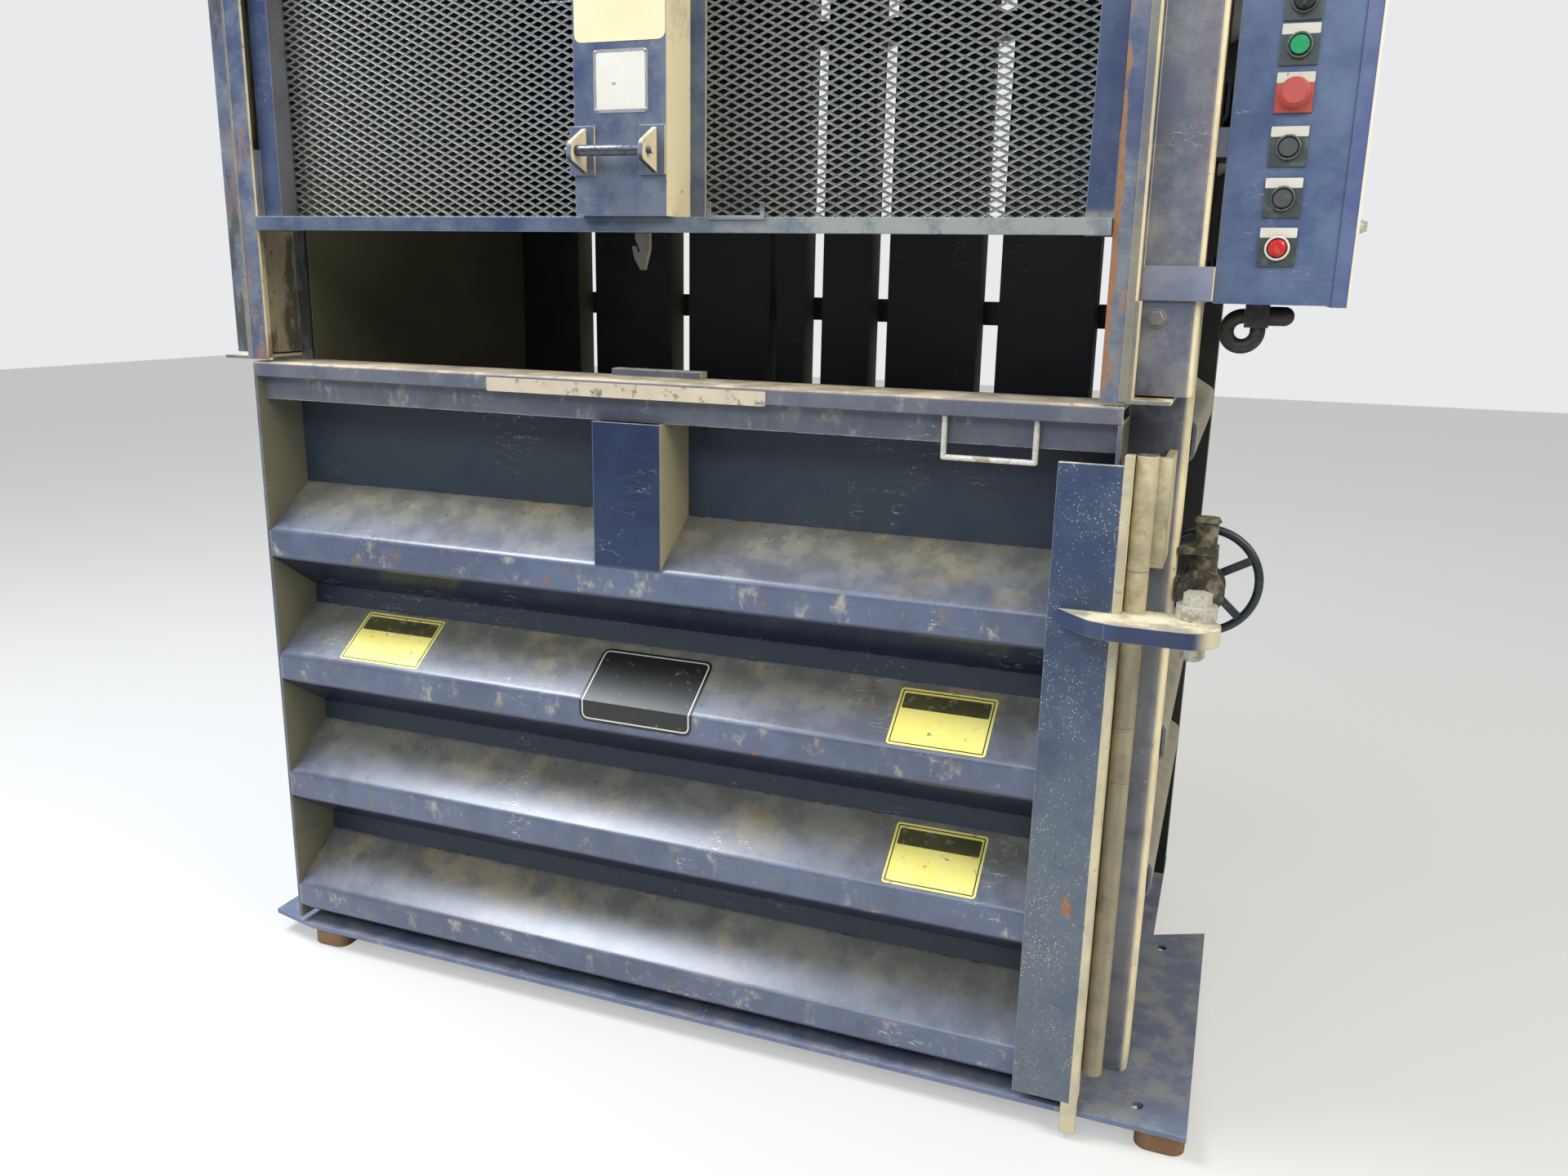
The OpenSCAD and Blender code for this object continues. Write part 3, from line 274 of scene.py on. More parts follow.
    # Hairline scratches, bundled by a second cloud so that most of the face stays whole
    strewn = put(tree, "Mapping", {"Vector": place, "Scale": brush})[0]
    hair = put(tree, "TexNoise", {"Vector": strewn, "Scale": 1 / (90 * MM), "Detail": 3,
                                  "Roughness": 0.5})["Fac"]
    hair = put(tree, "Math", (hair, 0.52), operation="SUBTRACT")[0]
    hair = put(tree, "Math", (hair,), operation="ABSOLUTE")[0]
    hair = put(tree, "MapRange", (hair, 0.0035, 0.0015, 0, scuffs), **SMOOTH)[0]
    bundles = marks(tree, place, 150, 2, 0.55, 0.56, 0.63)
    hair = put(tree, "Math", (hair, bundles), **TIMES)[0]
    coat = put(tree, "Mix", {0: hair, 6: coat, 7: ink("#b5b2a4")}, **TINT)[2]
    if scar:
        worn = put(tree, "Math", (scar(tree, place), mottle), **PLUS)[0]
        worn = put(tree, "MapRange", (worn, 1.18, 1.32), **SMOOTH)[0]
        coat = lay(tree, coat, worn, fine, "#5f3a22", "#9c7250")
    if specks:
        drops = put(tree, "TexVoronoi", {"Vector": place, "Scale": 1 / (3.6 * MM)})
        dots = put(tree, "MapRange", (drops["Distance"], 0.30, 0.16, 0, specks), **SMOOTH)[0]
        chosen = put(tree, "Math", (drops["Color"], mottle), **PLUS)[0]
        chosen = put(tree, "MapRange", (chosen, 0.80, 1.0), **SMOOTH)[0]
        dots = put(tree, "Math", (dots, chosen), **TIMES)[0]
        coat = put(tree, "Mix", {0: dots, 6: coat, 7: ink("#d8d6cc")}, **TINT)[2]

    # Dust takes the gloss away, and brush marks and dust leave a quarter of a millimetre
    matt = put(tree, "Math", (mottle, thin), **PLUS)[0]
    matt = put(tree, "Math", (matt, 0.5, dust_with_side_light), operation="MULTIPLY_ADD")[0]
    shine = put(tree, "MapRange", (matt, 0.15, 1.3, gloss, dull), **SMOOTH)[0]
    height = put(tree, "Math", (fine, 0.4, mottle), operation="MULTIPLY_ADD")[0]
    relief = put(tree, "Bump", {
        "Strength": 1.0, "Distance": 0.25 * MM, "Normal": eased, "Height": height})[0]
    shader = put(tree, "BsdfPrincipled", {
        "Base Color": coat, "Roughness": shine, "Normal": relief, "IOR": 1.5})
    put(tree, "OutputMaterial", {"Surface": shader[0]})
    return material


def along(axis, start, end, low=0.0, high=1.0):
    # A share that runs from low to high between two of the fitter's measures, for drift and veil
    origin = {"X": door_middle, "Y": rib_front, "Z": 0}[axis]

    def share_of(tree, place):
        parts = put(tree, "SeparateXYZ", (place,))
        return put(tree, "MapRange", (parts[axis], origin + start * MM, origin + end * MM,
                                      low, high), **SMOOTH)[0]
    return share_of


def patch_at(x, z, half_w, half_h):
    # One at the middle of a patch on an upright face and nought at its rim, for scar
    middle = at(x, 0, z)

    def share_of(tree, place):
        parts = put(tree, "SeparateXYZ", (place,))
        shares = []
        for axis, centre, half in (("X", middle.x, half_w), ("Z", middle.z, half_h)):
            off = put(tree, "Math", (parts[axis], centre), operation="SUBTRACT")[0]
            off = put(tree, "Math", (off,), operation="ABSOLUTE")[0]
            shares.append(put(tree, "MapRange", (off, half * MM, 0), **SMOOTH)[0])
        return put(tree, "Math", shares, **TIMES)[0]
    return share_of


# Frame
# Folded and welded plate: two front posts with jamb boxes, side walls with ribs, rear posts,
# and a base plate that stands on pads. Inside, the side walls are oily and painted dark as
# shade.


def finish_with(material, *names):
    for name in names:
        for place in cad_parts[name].material_slots:
            place.material = material


# The machine's plain navy, only dulled
navy_enamel = worn_enamel(
    "navy_machine_enamel", "#152b56", "#263c62", "#757a7e", "#8b846d", "#a9a288",
    up=0.6, side=0.6, haze=0.4, patch=0.3)
finish_with(navy_enamel, "wall_ribs", "feed_header", "crosshead", "cylinder_barrel",
            "oil_tank")

# The posts are hazier, the right one cream on its sides with dust and painted light, and the
# left one black with grease
cream_dust_and_side_light = ("#b3a98c", "#e0d6b2")
post_enamel = worn_enamel(
    "front_post_enamel", "#1b2f54", "#3a4961", "#7d7f82", *cream_dust_and_side_light,
    up=0.6, side=0.97, haze=0.66, patch=0.5, rust=0.9, bleed=0.12, grime=0.18)
left_post_enamel = worn_enamel(
    "left_post_enamel", "#1b2f54", "#3a4961", "#83857f", "#6d6753", "#a89f85",
    up=0.6, side=0.95, haze=0.5, patch=0.55, rust=0.9, bleed=0.3, grime=0.75)
finish_with(post_enamel, "right_post")
finish_with(left_post_enamel, "left_post")

# Bales have rubbed oil and dust into the chamber, and its near black paint is also painted
# shade: the chamber's inside and the rear posts stand in shadow
oily_steel_and_painted_shade = worn_enamel(
    "oily_enamel_and_painted_shade", "#070e0f", "#0c1415", "#1a1f1a", "#4a4934", "#6c6a50",
    up=0.8, side=0.75, haze=0.25, rust=0.3, scuffs=0.2)
finish_with(oily_steel_and_painted_shade, "rear_posts", "side_walls", "back_slats", "chamber_floor")

# The base plate is walked on: paler, smeared, and rusted where feet and carts scrape it
base_enamel = worn_enamel(
    "base_plate_enamel", "#2c4272", "#40557c", "#7e8790", "#6c7280", "#8a8a84",
    up=0.55, side=0.95, haze=0.35, patch=0.25, rust=1.2, scrapes=0.5)
finish_with(base_enamel, "base_plate")

# The pads are mill steel that never had paint, brown all over
rusty_steel = worn_enamel(
    "rusty_mild_steel", "#6a4a2c", "#7c5c3a", "#86694a", "#5a4028", "#8a6a44",
    up=0.3, side=0.2, rust=1.2, scuffs=0.1, gloss=0.7)
finish_with(rusty_steel, "foot_pads")

# The gate's tracks have rust running down them and one long scar on the right one
track_enamel = worn_enamel(
    "track_enamel", "#1a305a", "#324664", "#7a7c78", *cream_dust_and_side_light,
    up=0.6, side=1.0, haze=0.5, patch=0.7, rust=0.9, bleed=0.7,
    scar=patch_at(766, 1480, 20, 700))
finish_with(track_enamel, "gate_tracks")

# The hinge pipe is cream with dust at hand height and oily brown below it
pipe_enamel = worn_enamel(
    "hinge_pipe_enamel", "#4b4738", "#665f4a", "#c0b694", "#77705a", "#a79d80",
    up=0.9, side=0.35, haze=0.85, patch=0.5, rust=0.9, grime=0.15,
    veil=along("Z", 790, 880, 0.2, 1.1))
finish_with(pipe_enamel, "frame_knuckles")

# Brackets, hook and the tracks' edges are hidden under dust, the strap a little less; on faces
# towards the handwheel side that cream is dust and painted light together
cream_dust_and_light_enamel = worn_enamel(
    "enamel_under_cream_dust_and_painted_light", "#33405c", "#565c66", "#7d7760", "#958d72", "#d3c8a4",
    up=0.97, side=1.0, haze=0.7, patch=0.5)
folded_strap = worn_enamel(
    "strap_enamel", "#3f4c74", "#5c6580", "#868a92", "#bdb59b", "#e2d9ba",
    up=0.8, side=1.0, haze=0.6, patch=0.3, rust=0.2)
finish_with(cream_dust_and_light_enamel, "track_brackets")
finish_with(folded_strap, "box_strap")


def measures(point):
    # The fitter's three measures, read back from a point of the frame
    return (point.x - door_middle) / MM, (point.y - rib_front) / MM, point.z / MM


def bar(name, lo, hi, material, body, ease=0.5):
    # A small rectangular bar with eased edges between two corners in millimetres
    a, b = at(*lo), at(*hi)
    bpy.ops.mesh.primitive_cube_add(size=1, location=(a + b) / 2)
    made = bpy.context.object
    made.name = name
    made.scale = b - a
    bpy.ops.object.transform_apply(location=True, rotation=True, scale=True)
    eased = made.modifiers.new("eased", "BEVEL")
    eased.width = ease * MM
    eased.segments = 2
    bpy.ops.object.modifier_apply(modifier=eased.name)
    made.data.materials.append(material)
    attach(made, body)


# The outer edge of each gate track is a dusty hot-rolled bar, left pale where hands don't
# reach
track_outer, edge_foot, edge_stand = 803, 1228, 1.2
track_top = measures(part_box("gate_tracks")[1])[2]
for name, x0, x1 in (("track_edge_right", track_outer - 12, track_outer),
                     ("track_edge_left", -track_outer, -track_outer + 5)):
    bar(name, (x0, -edge_stand, edge_foot), (x1, 0, track_top), cream_dust_and_light_enamel, "machine")

# Bale door
# A flat sheet with four folded ribs, boxed by end plates and a folded top rail. The ribs'
# slopes gather olive dust; the end plates are cream with it.


def rib_drift(tree, place):
    # The dust lies deepest at the back of each slope, and a little less on the lowest ribs
    back = along("Y", 8, 90, 0.3, 1.0)(tree, place)
    height = along("Z", 300, 900, 0.85, 1.0)(tree, place)
    return put(tree, "Math", (back, height), **TIMES)[0]


# The ribs are rubbed smooth by bales and hands, so they shine more than the rest
rib_enamel = worn_enamel(
    "door_rib_enamel", "#10264f", "#223a64", "#8a8d8c", "#68665a", "#7a786a",
    up=1.0, side=0.9, haze=0.27, patch=0.15, rust=1.1, scrapes=0.75, scuffs=0.8,
    gloss=0.2, dull=0.38, bend_mm=7, stains=0.65, drift=rib_drift)
rail_enamel = worn_enamel(
    "door_rail_enamel", "#152a52", "#2e3f5c", "#7d7b70", "#9d9178", "#bfae8f",
    up=0.95, side=0.9, haze=0.4, patch=0.2, rust=1.0, scuffs=0.9, bend_mm=4,
    stains=0.25, scrapes=0.5)
# Behind the ribs nothing rubs: the sheet, end plates and channel keep their dark paint. The
# sheet's darker paint and film are partly dirt and partly painted shade of the recesses under
# the ribs.
sheet_enamel_with_painted_shade = worn_enamel(
    "door_sheet_enamel_with_painted_shade", "#0c1a33", "#132439", "#2b373b", "#403f35", "#5c5a4c",
    up=0.8, side=0.6, haze=0.6, patch=0.6, gloss=0.5)
end_enamel = worn_enamel(
    "door_end_enamel", "#263354", "#3a4460", "#6f7069", "#4b4939", "#6b6852",
    up=0.7, side=0.9, haze=0.35, rust=0.8)
stiffener_enamel = worn_enamel(
    "stiffener_enamel", "#081a3a", "#0d2144", "#364353", "#6f6b57", "#9b9479",
    up=0.7, side=0.9, haze=0.1, rust=0.3)
finish_with(rib_enamel, "door_ribs")
finish_with(rail_enamel, "door_rail", "strike_plate", "door_knuckles")
finish_with(sheet_enamel_with_painted_shade, "door_sheet")
finish_with(end_enamel, "door_end_plates")
finish_with(stiffener_enamel, "door_stiffener")

# Latch bar
# Thick plate on a pipe hinge with a lever arm across it; the arm's top is cream with dust,
# the flange cream with dust and painted light, and the plate is flecked with overspray.
latch_enamel = worn_enamel(
    "latch_plate_enamel", "#10254c", "#1f365a", "#565f67", "#a39c86", "#d9d0b0",
    up=0.9, haze=0.9, patch=0.4, rust=0.4, specks=0.75,
    veil=along("Z", 950, 350, 0.35, 1.0), brush=(5.0, 5.0, 0.25),
    scar=patch_at(779, 424, 26, 52))
# The flange's cream is dust and painted light together
plate_under_dust_and_light = worn_enamel(
    "cream_dusted_plate_with_painted_light", "#4a4e58", "#77735f", "#bdb392", "#a39b80", "#d3c8a4",
    up=0.97, side=1.0, haze=0.85, patch=0.35, rust=0.7, grime=0.1)
arm_enamel = worn_enamel(
    "lever_arm_enamel", "#0f2148", "#172b52", "#6f706e", "#a39b82", "#c4bca0",
    up=0.97, haze=0.12, patch=0.35)
finish_with(latch_enamel, "latch_plate")
finish_with(plate_under_dust_and_light, "latch_flange")
finish_with(pipe_enamel, "latch_knuckles")
finish_with(arm_enamel, "lever_arm")


def worn_metal(name, bright, dull, dirt, cover=0.4, metallic=1.0, low=0.3, high=0.65):
    # Bare or plated metal: its shine breaks up in fine grains, and dirt covers it in clouds.
    # cover is how much of it, low and high are its roughness clean and dirty.
    material, tree = blank(name)
    place = put(tree, "TexCoord")["Object"]
    mottle = put(tree, "TexNoise", {"Vector": place, "Scale": 1 / (18 * MM), "Detail": 6,
                                    "Roughness": 0.6})["Fac"]
    grains = marks(tree, place, 3, 4, 0.6, 0.3, 0.7)
    metal = put(tree, "Mix", {0: grains, 6: ink(dull), 7: ink(bright)}, **TINT)[2]
    dirty = put(tree, "MapRange", (mottle, 0.62 - 0.3 * cover, 0.78 - 0.3 * cover),
                **SMOOTH)[0]
    colour = put(tree, "Mix", {0: dirty, 6: metal, 7: ink(dirt)}, **TINT)[2]
    matt = put(tree, "Math", (mottle, dirty), **PLUS)[0]
    shine = put(tree, "MapRange", (matt, 0.3, 1.4, low, high), **SMOOTH)[0]
    relief = put(tree, "Bump", {
        "Strength": 1.0, "Distance": 0.25 * MM, "Height": mottle})[0]
    shader = put(tree, "BsdfPrincipled", {
        "Base Color": colour, "Metallic": metallic, "Roughness": shine, "Normal": relief})
    put(tree, "OutputMaterial", {"Surface": shader[0]})
    return material


# Zinc plate has lost its lustre: pale grey, with hardly a reflection left
zinc = worn_metal("dusty_zinc_plate", "#cfccc0", "#a9a79d", "#98927c", metallic=0.3)
finish_with(zinc, "pivot_bolt", "pull_handle", "cover_knob")

# Clamp screw and handwheel
# Black-japanned castings, greasy near the thread, on a turned steel screw that stays bright.
japan = worn_metal("black_japanned_iron", "#27323a", "#161d22", "#3f4038",
                   cover=0.3, metallic=0.1, low=0.35, high=0.6)
greasy_iron = worn_metal("greasy_cast_iron", "#4b483d", "#2e2c26", "#7a7260",
                         cover=0.6, metallic=0.2, low=0.45, high=0.75)
turned = worn_metal("turned_steel", "#a9a8a4", "#7f7e7a", "#4d4a41", cover=0.3)
finish_with(japan, "handwheel")
finish_with(greasy_iron, "screw_barrel", "pump", "valve_block", "hydraulic_lines")
finish_with(turned, "clamp_screw", "hinge_pins", "cylinder_gland", "piston_rod")

# Safety gate
# A light frame in two tracks with a folded middle post. Both bays are filled with expanded
# metal, slit and stretched from one sheet, so each diamond shares its strands with the next.


def rail_veil(tree, place):
    # The gate's lower rail is rubbed grey towards its right end; the stiles stay blue
    on_rail = along("Z", 1500, 1488, 0.0, 1.0)(tree, place)
    to_right = along("X", -100, 500, 0.4, 3.0)(tree, place)
    return put(tree, "Math", (on_rail, to_right, 0.6), operation="MULTIPLY_ADD")[0]


gate_enamel = worn_enamel(
    "gate_frame_enamel", "#0f2650", "#1a325c", "#80857f", "#8d8571", "#cdc2a2",
    up=0.85, side=0.15, haze=0.26, patch=0.6, rust=0.8, veil=rail_veil)
post_face_enamel = worn_enamel(
    "gate_post_enamel", "#142b56", "#20375e", "#74797b", *cream_dust_and_side_light,
    up=0.6, side=0.97, haze=0.42, patch=0.7)
handle_enamel = worn_enamel(
    "gate_handle_enamel", "#1a2f5a", "#2f4468", "#8a8676", "#a39b80", "#d6ccaa",
    up=0.95, side=1.0, haze=0.25, patch=0.4)
finish_with(gate_enamel, "gate_frame", "gate_clip")
finish_with(post_face_enamel, "gate_post")
finish_with(handle_enamel, "gate_handle")
finish_with(cream_dust_and_light_enamel, "gate_hook")

# The grip is a length of oiled pipe over the handle's rod, between its ears
grip_radius, grip_length, grip_stand, grip_rise = 8.5, 115, 36, 34
post_face = measures(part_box("gate_post")[0])[1]
handle_foot = measures(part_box("gate_handle")[0])[2]
bpy.ops.mesh.primitive_cylinder_add(
    vertices=40, radius=grip_radius * MM, depth=grip_length * MM,
    rotation=(0, math.pi / 2, 0),
    location=at(0, post_face - grip_stand, handle_foot + grip_rise))
grip = bpy.context.object
grip.name = "handle_grip"
bpy.ops.object.transform_apply(location=True, rotation=True, scale=True)
rims = grip.modifiers.new("rims", "BEVEL")
rims.width = 1.2 * MM
rims.segments = 3
bpy.ops.object.modifier_apply(modifier=rims.name)
bpy.ops.object.shade_smooth_by_angle()
grip.data.materials.append(worn_metal(
    "oiled_pipe", "#5d6064", "#33373b", "#24262a", cover=0.3, metallic=0.6, high=0.5))
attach(grip, "gate")

# One diamond, its strand and how far the strand leans out of the sheet; then what counts as
# straight, and as lying on the sheet's edge
diamond_w, diamond_h = 30, 14.2
strand_w, strand_t, strand_lean = 1.7, 1.6, 1.2
on_line, at_rim = 0.01, 0.1
mesh_metal = worn_metal("painted_expanded_metal", "#84857f", "#5b5f62", "#8f8c7c",
                        cover=0.15, metallic=0.2, low=0.4, high=0.7)


def pick(made, mode, chosen):
    # Selects in edit mode just the points or edges that chosen says yes to
    bpy.ops.object.mode_set(mode="EDIT")
    bpy.ops.mesh.select_mode(type=mode)
    bpy.ops.mesh.select_all(action="DESELECT")
    bpy.ops.object.mode_set(mode="OBJECT")
    for part in made.data.edges if mode == "EDGE" else made.data.vertices:
        part.select = chosen(part)
    bpy.ops.object.mode_set(mode="EDIT")


def expanded_metal(name, x0, x1, z0, z1, y):
    # The squares of a grid are poked and their straight edges dissolved, which leaves
    # diamonds. Each is inset to its strands and its middle cut away.
    across = round((x1 - x0) / (diamond_w * MM))
    rows = round((z1 - z0) / (diamond_h * MM))
    bpy.ops.object.select_all(action="DESELECT")
    bpy.ops.mesh.primitive_grid_add(
        x_subdivisions=across, y_subdivisions=rows, size=1, calc_uvs=False,
        location=((x0 + x1) / 2, y, (z0 + z1) / 2), rotation=(math.pi / 2, 0, 0))
    made = bpy.context.object
    made.name = name
    made.scale = (x1 - x0, z1 - z0, 1)
    bpy.ops.object.transform_apply(location=True, rotation=True, scale=True)
    bpy.ops.object.mode_set(mode="EDIT")
    bpy.ops.mesh.select_mode(type="FACE")
    bpy.ops.mesh.select_all(action="SELECT")
    bpy.ops.mesh.poke()
    bpy.ops.object.mode_set(mode="OBJECT")
    rim = at_rim * MM

    def between_slits(rung):
        a, b = (made.data.vertices[i].co for i in rung.vertices)
        straight = abs(a.x - b.x) < on_line * MM or abs(a.z - b.z) < on_line * MM
        return straight and min(a.x, b.x) < x1 - rim and max(a.x, b.x) > x0 + rim \
            and min(a.z, b.z) < z1 - rim and max(a.z, b.z) > z0 + rim

    pick(made, "EDGE", between_slits)
    bpy.ops.mesh.dissolve_edges(use_verts=False)
    bpy.ops.mesh.select_mode(type="FACE")
    bpy.ops.mesh.select_all(action="SELECT")
    bpy.ops.mesh.inset(thickness=strand_w * MM, depth=strand_lean * MM, use_individual=True)
    bpy.ops.mesh.delete(type="FACE")
    bpy.ops.object.mode_set(mode="OBJECT")
    wall = made.modifiers.new("wall", "SOLIDIFY")
    wall.thickness = strand_t * MM
    bpy.ops.object.modifier_apply(modifier=wall.name)
    made.data.materials.append(mesh_metal)
    return made


mesh_lo, mesh_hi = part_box("gate_mesh")
post_lo, post_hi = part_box("gate_post")
mesh_y = (mesh_lo.y + mesh_hi.y) / 2
for side, x0, x1 in (("left", mesh_lo.x, post_lo.x), ("right", post_hi.x, mesh_hi.x)):
    bay = expanded_metal("mesh_" + side, x0, x1, mesh_lo.z, mesh_hi.z, mesh_y)
    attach(bay, "gate")
    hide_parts("gate_mesh")


def printed_vinyl(name, field, worn, wear=0.4):
    # Cast vinyl film: evenly coloured and half glossy, bleached in clouds, and rubbed through
    # to dirt in spots. wear is how much of it is gone.
    material, tree = blank(name)
    place = put(tree, "TexCoord")["Object"]
    scuff = marks(tree, place, 22, 7, 0.7, 0.68 - 0.15 * wear, 0.74 - 0.1 * wear)
    bleached = put(tree, "TexNoise", {"Vector": place, "Scale": 1 / (60 * MM), "Detail": 3,
                                      "Roughness": 0.55})["Fac"]
    waves = put(tree, "TexNoise", {"Vector": place, "Scale": 1 / (10 * MM), "Detail": 4,
                                   "Roughness": 0.55})["Fac"]
    relief = put(tree, "Bump", {"Distance": 0.05 * MM, "Height": waves})[0]
    tone = put(tree, "Mix", {0: bleached, 6: ink(field), 7: ink(worn)}, **TINT)[2]
    colour = put(tree, "Mix", {0: scuff, 6: tone, 7: ink("#6d6750")}, **TINT)[2]
    shine = put(tree, "MapRange", (scuff, 0, 1, 0.35, 0.7), **SMOOTH)[0]
    shader = put(tree, "BsdfPrincipled", {
        "Base Color": colour, "Normal": relief, "Roughness": shine, "IOR": 1.46})
    put(tree, "OutputMaterial", {"Surface": shader[0]})
    return material


def inner_borders(made, border):
    # Each border is a width in millimetres and the material of what lies inside it
    bpy.ops.object.mode_set(mode="EDIT")
    bpy.ops.mesh.select_mode(type="FACE")
    bpy.ops.mesh.select_all(action="SELECT")
    for width, index in border:
        bpy.ops.mesh.inset(thickness=width * MM, depth=0)
        made.active_material_index = index
        bpy.ops.object.material_slot_assign()
    bpy.ops.object.mode_set(mode="OBJECT")


def card(name, lo, hi, corner, materials, body, border=(), thick=0.6, stands_for=()):
    # A thin card with rounded corners that faces the front; lo and hi are its corners in
    # millimetres. It rides on body, and stands for the nodes that are named.
    bpy.ops.object.select_all(action="DESELECT")
    bpy.ops.mesh.primitive_plane_add(
        size=1, calc_uvs=False, rotation=(math.pi / 2, 0, 0),
        location=at((lo[0] + hi[0]) / 2, lo[1] - thick, (lo[2] + hi[2]) / 2))
    made = bpy.context.object
    made.name = name
    made.scale = ((hi[0] - lo[0]) * MM, (hi[2] - lo[2]) * MM, 1)
    bpy.ops.object.transform_apply(location=True, rotation=True, scale=True)
    for material in materials:
        made.data.materials.append(material)
    rounding = made.modifiers.new("corners", "BEVEL")
    rounding.affect = "VERTICES"
    rounding.width = corner * MM
    rounding.segments = 4
    bpy.ops.object.modifier_apply(modifier=rounding.name)
    inner_borders(made, border)
    wall = made.modifiers.new("wall", "SOLIDIFY")
    wall.thickness = (thick - 0.05) * MM
    wall.offset = -1
    bpy.ops.object.modifier_apply(modifier=wall.name)
    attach(made, body)
    if stands_for:
        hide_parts(*stands_for)


# Two plates on the post, both bare: a cream card that is glued on, and below it a brushed
# plate with a white rim, held by a dome-headed rivet in each corner
white_vinyl = printed_vinyl("white_vinyl", "#d3d1c6", "#bdb8a8", wear=0.3)
brushed_plate = worn_metal("brushed_data_plate", "#a9aaa6", "#8f908b", "#8d8a7c",
                           cover=0.3, metallic=0.7, low=0.35, high=0.6)
card_height, plate_side = 83, 93
rivet_inset, rivet_radius, rivet_stand = 4, 2.6, 0.7
plates_lo, plates_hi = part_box("gate_plates")
low_z, top_z = plates_lo.z / MM, plates_hi.z / MM
card("gate_sign", (-78, post_face, top_z - card_height), (80, post_face, top_z), 12,
     [printed_vinyl("cream_card", "#d9d2ab", "#c9c197", wear=0.2)], "gate",
     stands_for=["gate_plates"])
plate_x0, plate_x1 = -45, 50
card("gate_data_plate", (plate_x0, post_face, low_z), (plate_x1, post_face, low_z + plate_side),
     5, [brushed_plate, white_vinyl], "gate", border=[(5, 1)], stands_for=["gate_plates"])
for i, x in enumerate((plate_x0 + rivet_inset, plate_x1 - rivet_inset)):
    for j, z in enumerate((low_z + rivet_inset, low_z + plate_side - rivet_inset)):
        bpy.ops.mesh.primitive_uv_sphere_add(
            segments=16, ring_count=10, radius=rivet_radius * MM,
            location=at(x, post_face - rivet_stand, z), scale=(1, 0.5, 1))
        rivet = bpy.context.object
        rivet.name = "plate_rivet_%d_%d" % (i, j)
        bpy.ops.object.transform_apply(location=True, rotation=True, scale=True)
        bpy.ops.object.shade_smooth()
        rivet.data.materials.append(turned)
        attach(rivet, "gate")

# Press
# The platen and rod hang from the cylinder in the crosshead; a tank with motor and pump
# stands beside it. The motor is a ribbed casting in grey paint.
grey_enamel = worn_enamel(
    "grey_motor_enamel", "#565d60", "#6a7072", "#7b7d7b", "#6a6656", "#8d8878",
    up=0.6, side=0.2, haze=0.2, rust=0.2, scuffs=0.3)
finish_with(navy_enamel, "platen")
finish_with(grey_enamel, "electric_motor")

# Controls
# A long blue steel box with a cover on its outer side, cream with dust and painted light on
# its outward face. The push buttons sit in a column on its front, each on a square legend plate.
box_enamel = worn_enamel(
    "blue_box_enamel", "#1b3568", "#2f4a78", "#77848f", "#6d6f72", "#a9a698",
    side=0.5, haze=0.32, patch=0.35, rust=0.2)
# The cream on the cover's outward face is dust and painted light together
cover_enamel = worn_enamel(
    "cover_enamel_with_cream_dust_and_light", "#2f3e74", "#45537e", "#7f8590", "#bdb8a6", "#dbd7c6",
    side=1.0, haze=0.2, patch=0.3, rust=0.2, scuffs=0.2)
finish_with(box_enamel, "control_box")
finish_with(cover_enamel, "control_cover")
cover_lo, cover_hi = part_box("control_cover")
lip_w, lip_t = 4, 1
lip_x, lip_top = measures(cover_hi)[0], measures(cover_hi)[2]
lip_y, lip_foot = measures(cover_lo)[1:]
bar("cover_lip", (lip_x - lip_w, lip_y - lip_t, lip_foot), (lip_x, lip_y, lip_top),
    printed_vinyl("cream_gasket", "#d9d5c6", "#c8c3b0", wear=0.2), "cover", 0.4)


def moulded(name, colour, rough):
    # Moulded plastic: one colour right through, fingered dirty in clouds that take its gloss
    material, tree = blank(name)
    place = put(tree, "TexCoord")["Object"]
    fingered = marks(tree, place, 9, 6, 0.65, 0.5, 0.8, 0.45)
    grain = put(tree, "TexNoise", {"Vector": place, "Scale": 1 / (1.5 * MM), "Detail": 4,
                                   "Roughness": 0.55})["Fac"]
    relief = put(tree, "Bump", {"Distance": 0.05 * MM, "Height": grain})[0]
    tone = put(tree, "Mix", {0: fingered, 6: ink(colour), 7: ink("#77705c")}, **TINT)[2]
    shine = put(tree, "MapRange", (fingered, 0, 0.45, rough, 0.8), **SMOOTH)[0]
    shader = put(tree, "BsdfPrincipled", {
        "Base Color": tone, "Normal": relief, "Roughness": shine, "IOR": 1.49})
    put(tree, "OutputMaterial", {"Surface": shader[0]})
    return material


black_nylon = moulded("black_nylon", "#1c1d1f", rough=0.5)
finish_with(black_nylon, "key_selector", "conduit_fittings", "conduit")
finish_with(moulded("charcoal_button_plastic", "#3b403f", rough=0.5), "up_button", "down_button")
finish_with(moulded("green_button_plastic", "#168a52", rough=0.25), "start_button")
finish_with(moulded("dusty_red_plastic", "#a8463f", rough=0.45), "stop_button")
finish_with(moulded("red_lens", "#b81f25", rough=0.15), "pilot_lamp")
red_vinyl = printed_vinyl("red_vinyl", "#a83a36", "#b3564e", wear=0.5)
legend_plate = worn_metal("grey_legend_plate", "#4d5552", "#3c4442", "#5f625a",
                          cover=0.3, metallic=0.3)
finish_with(legend_plate, "button_plates")

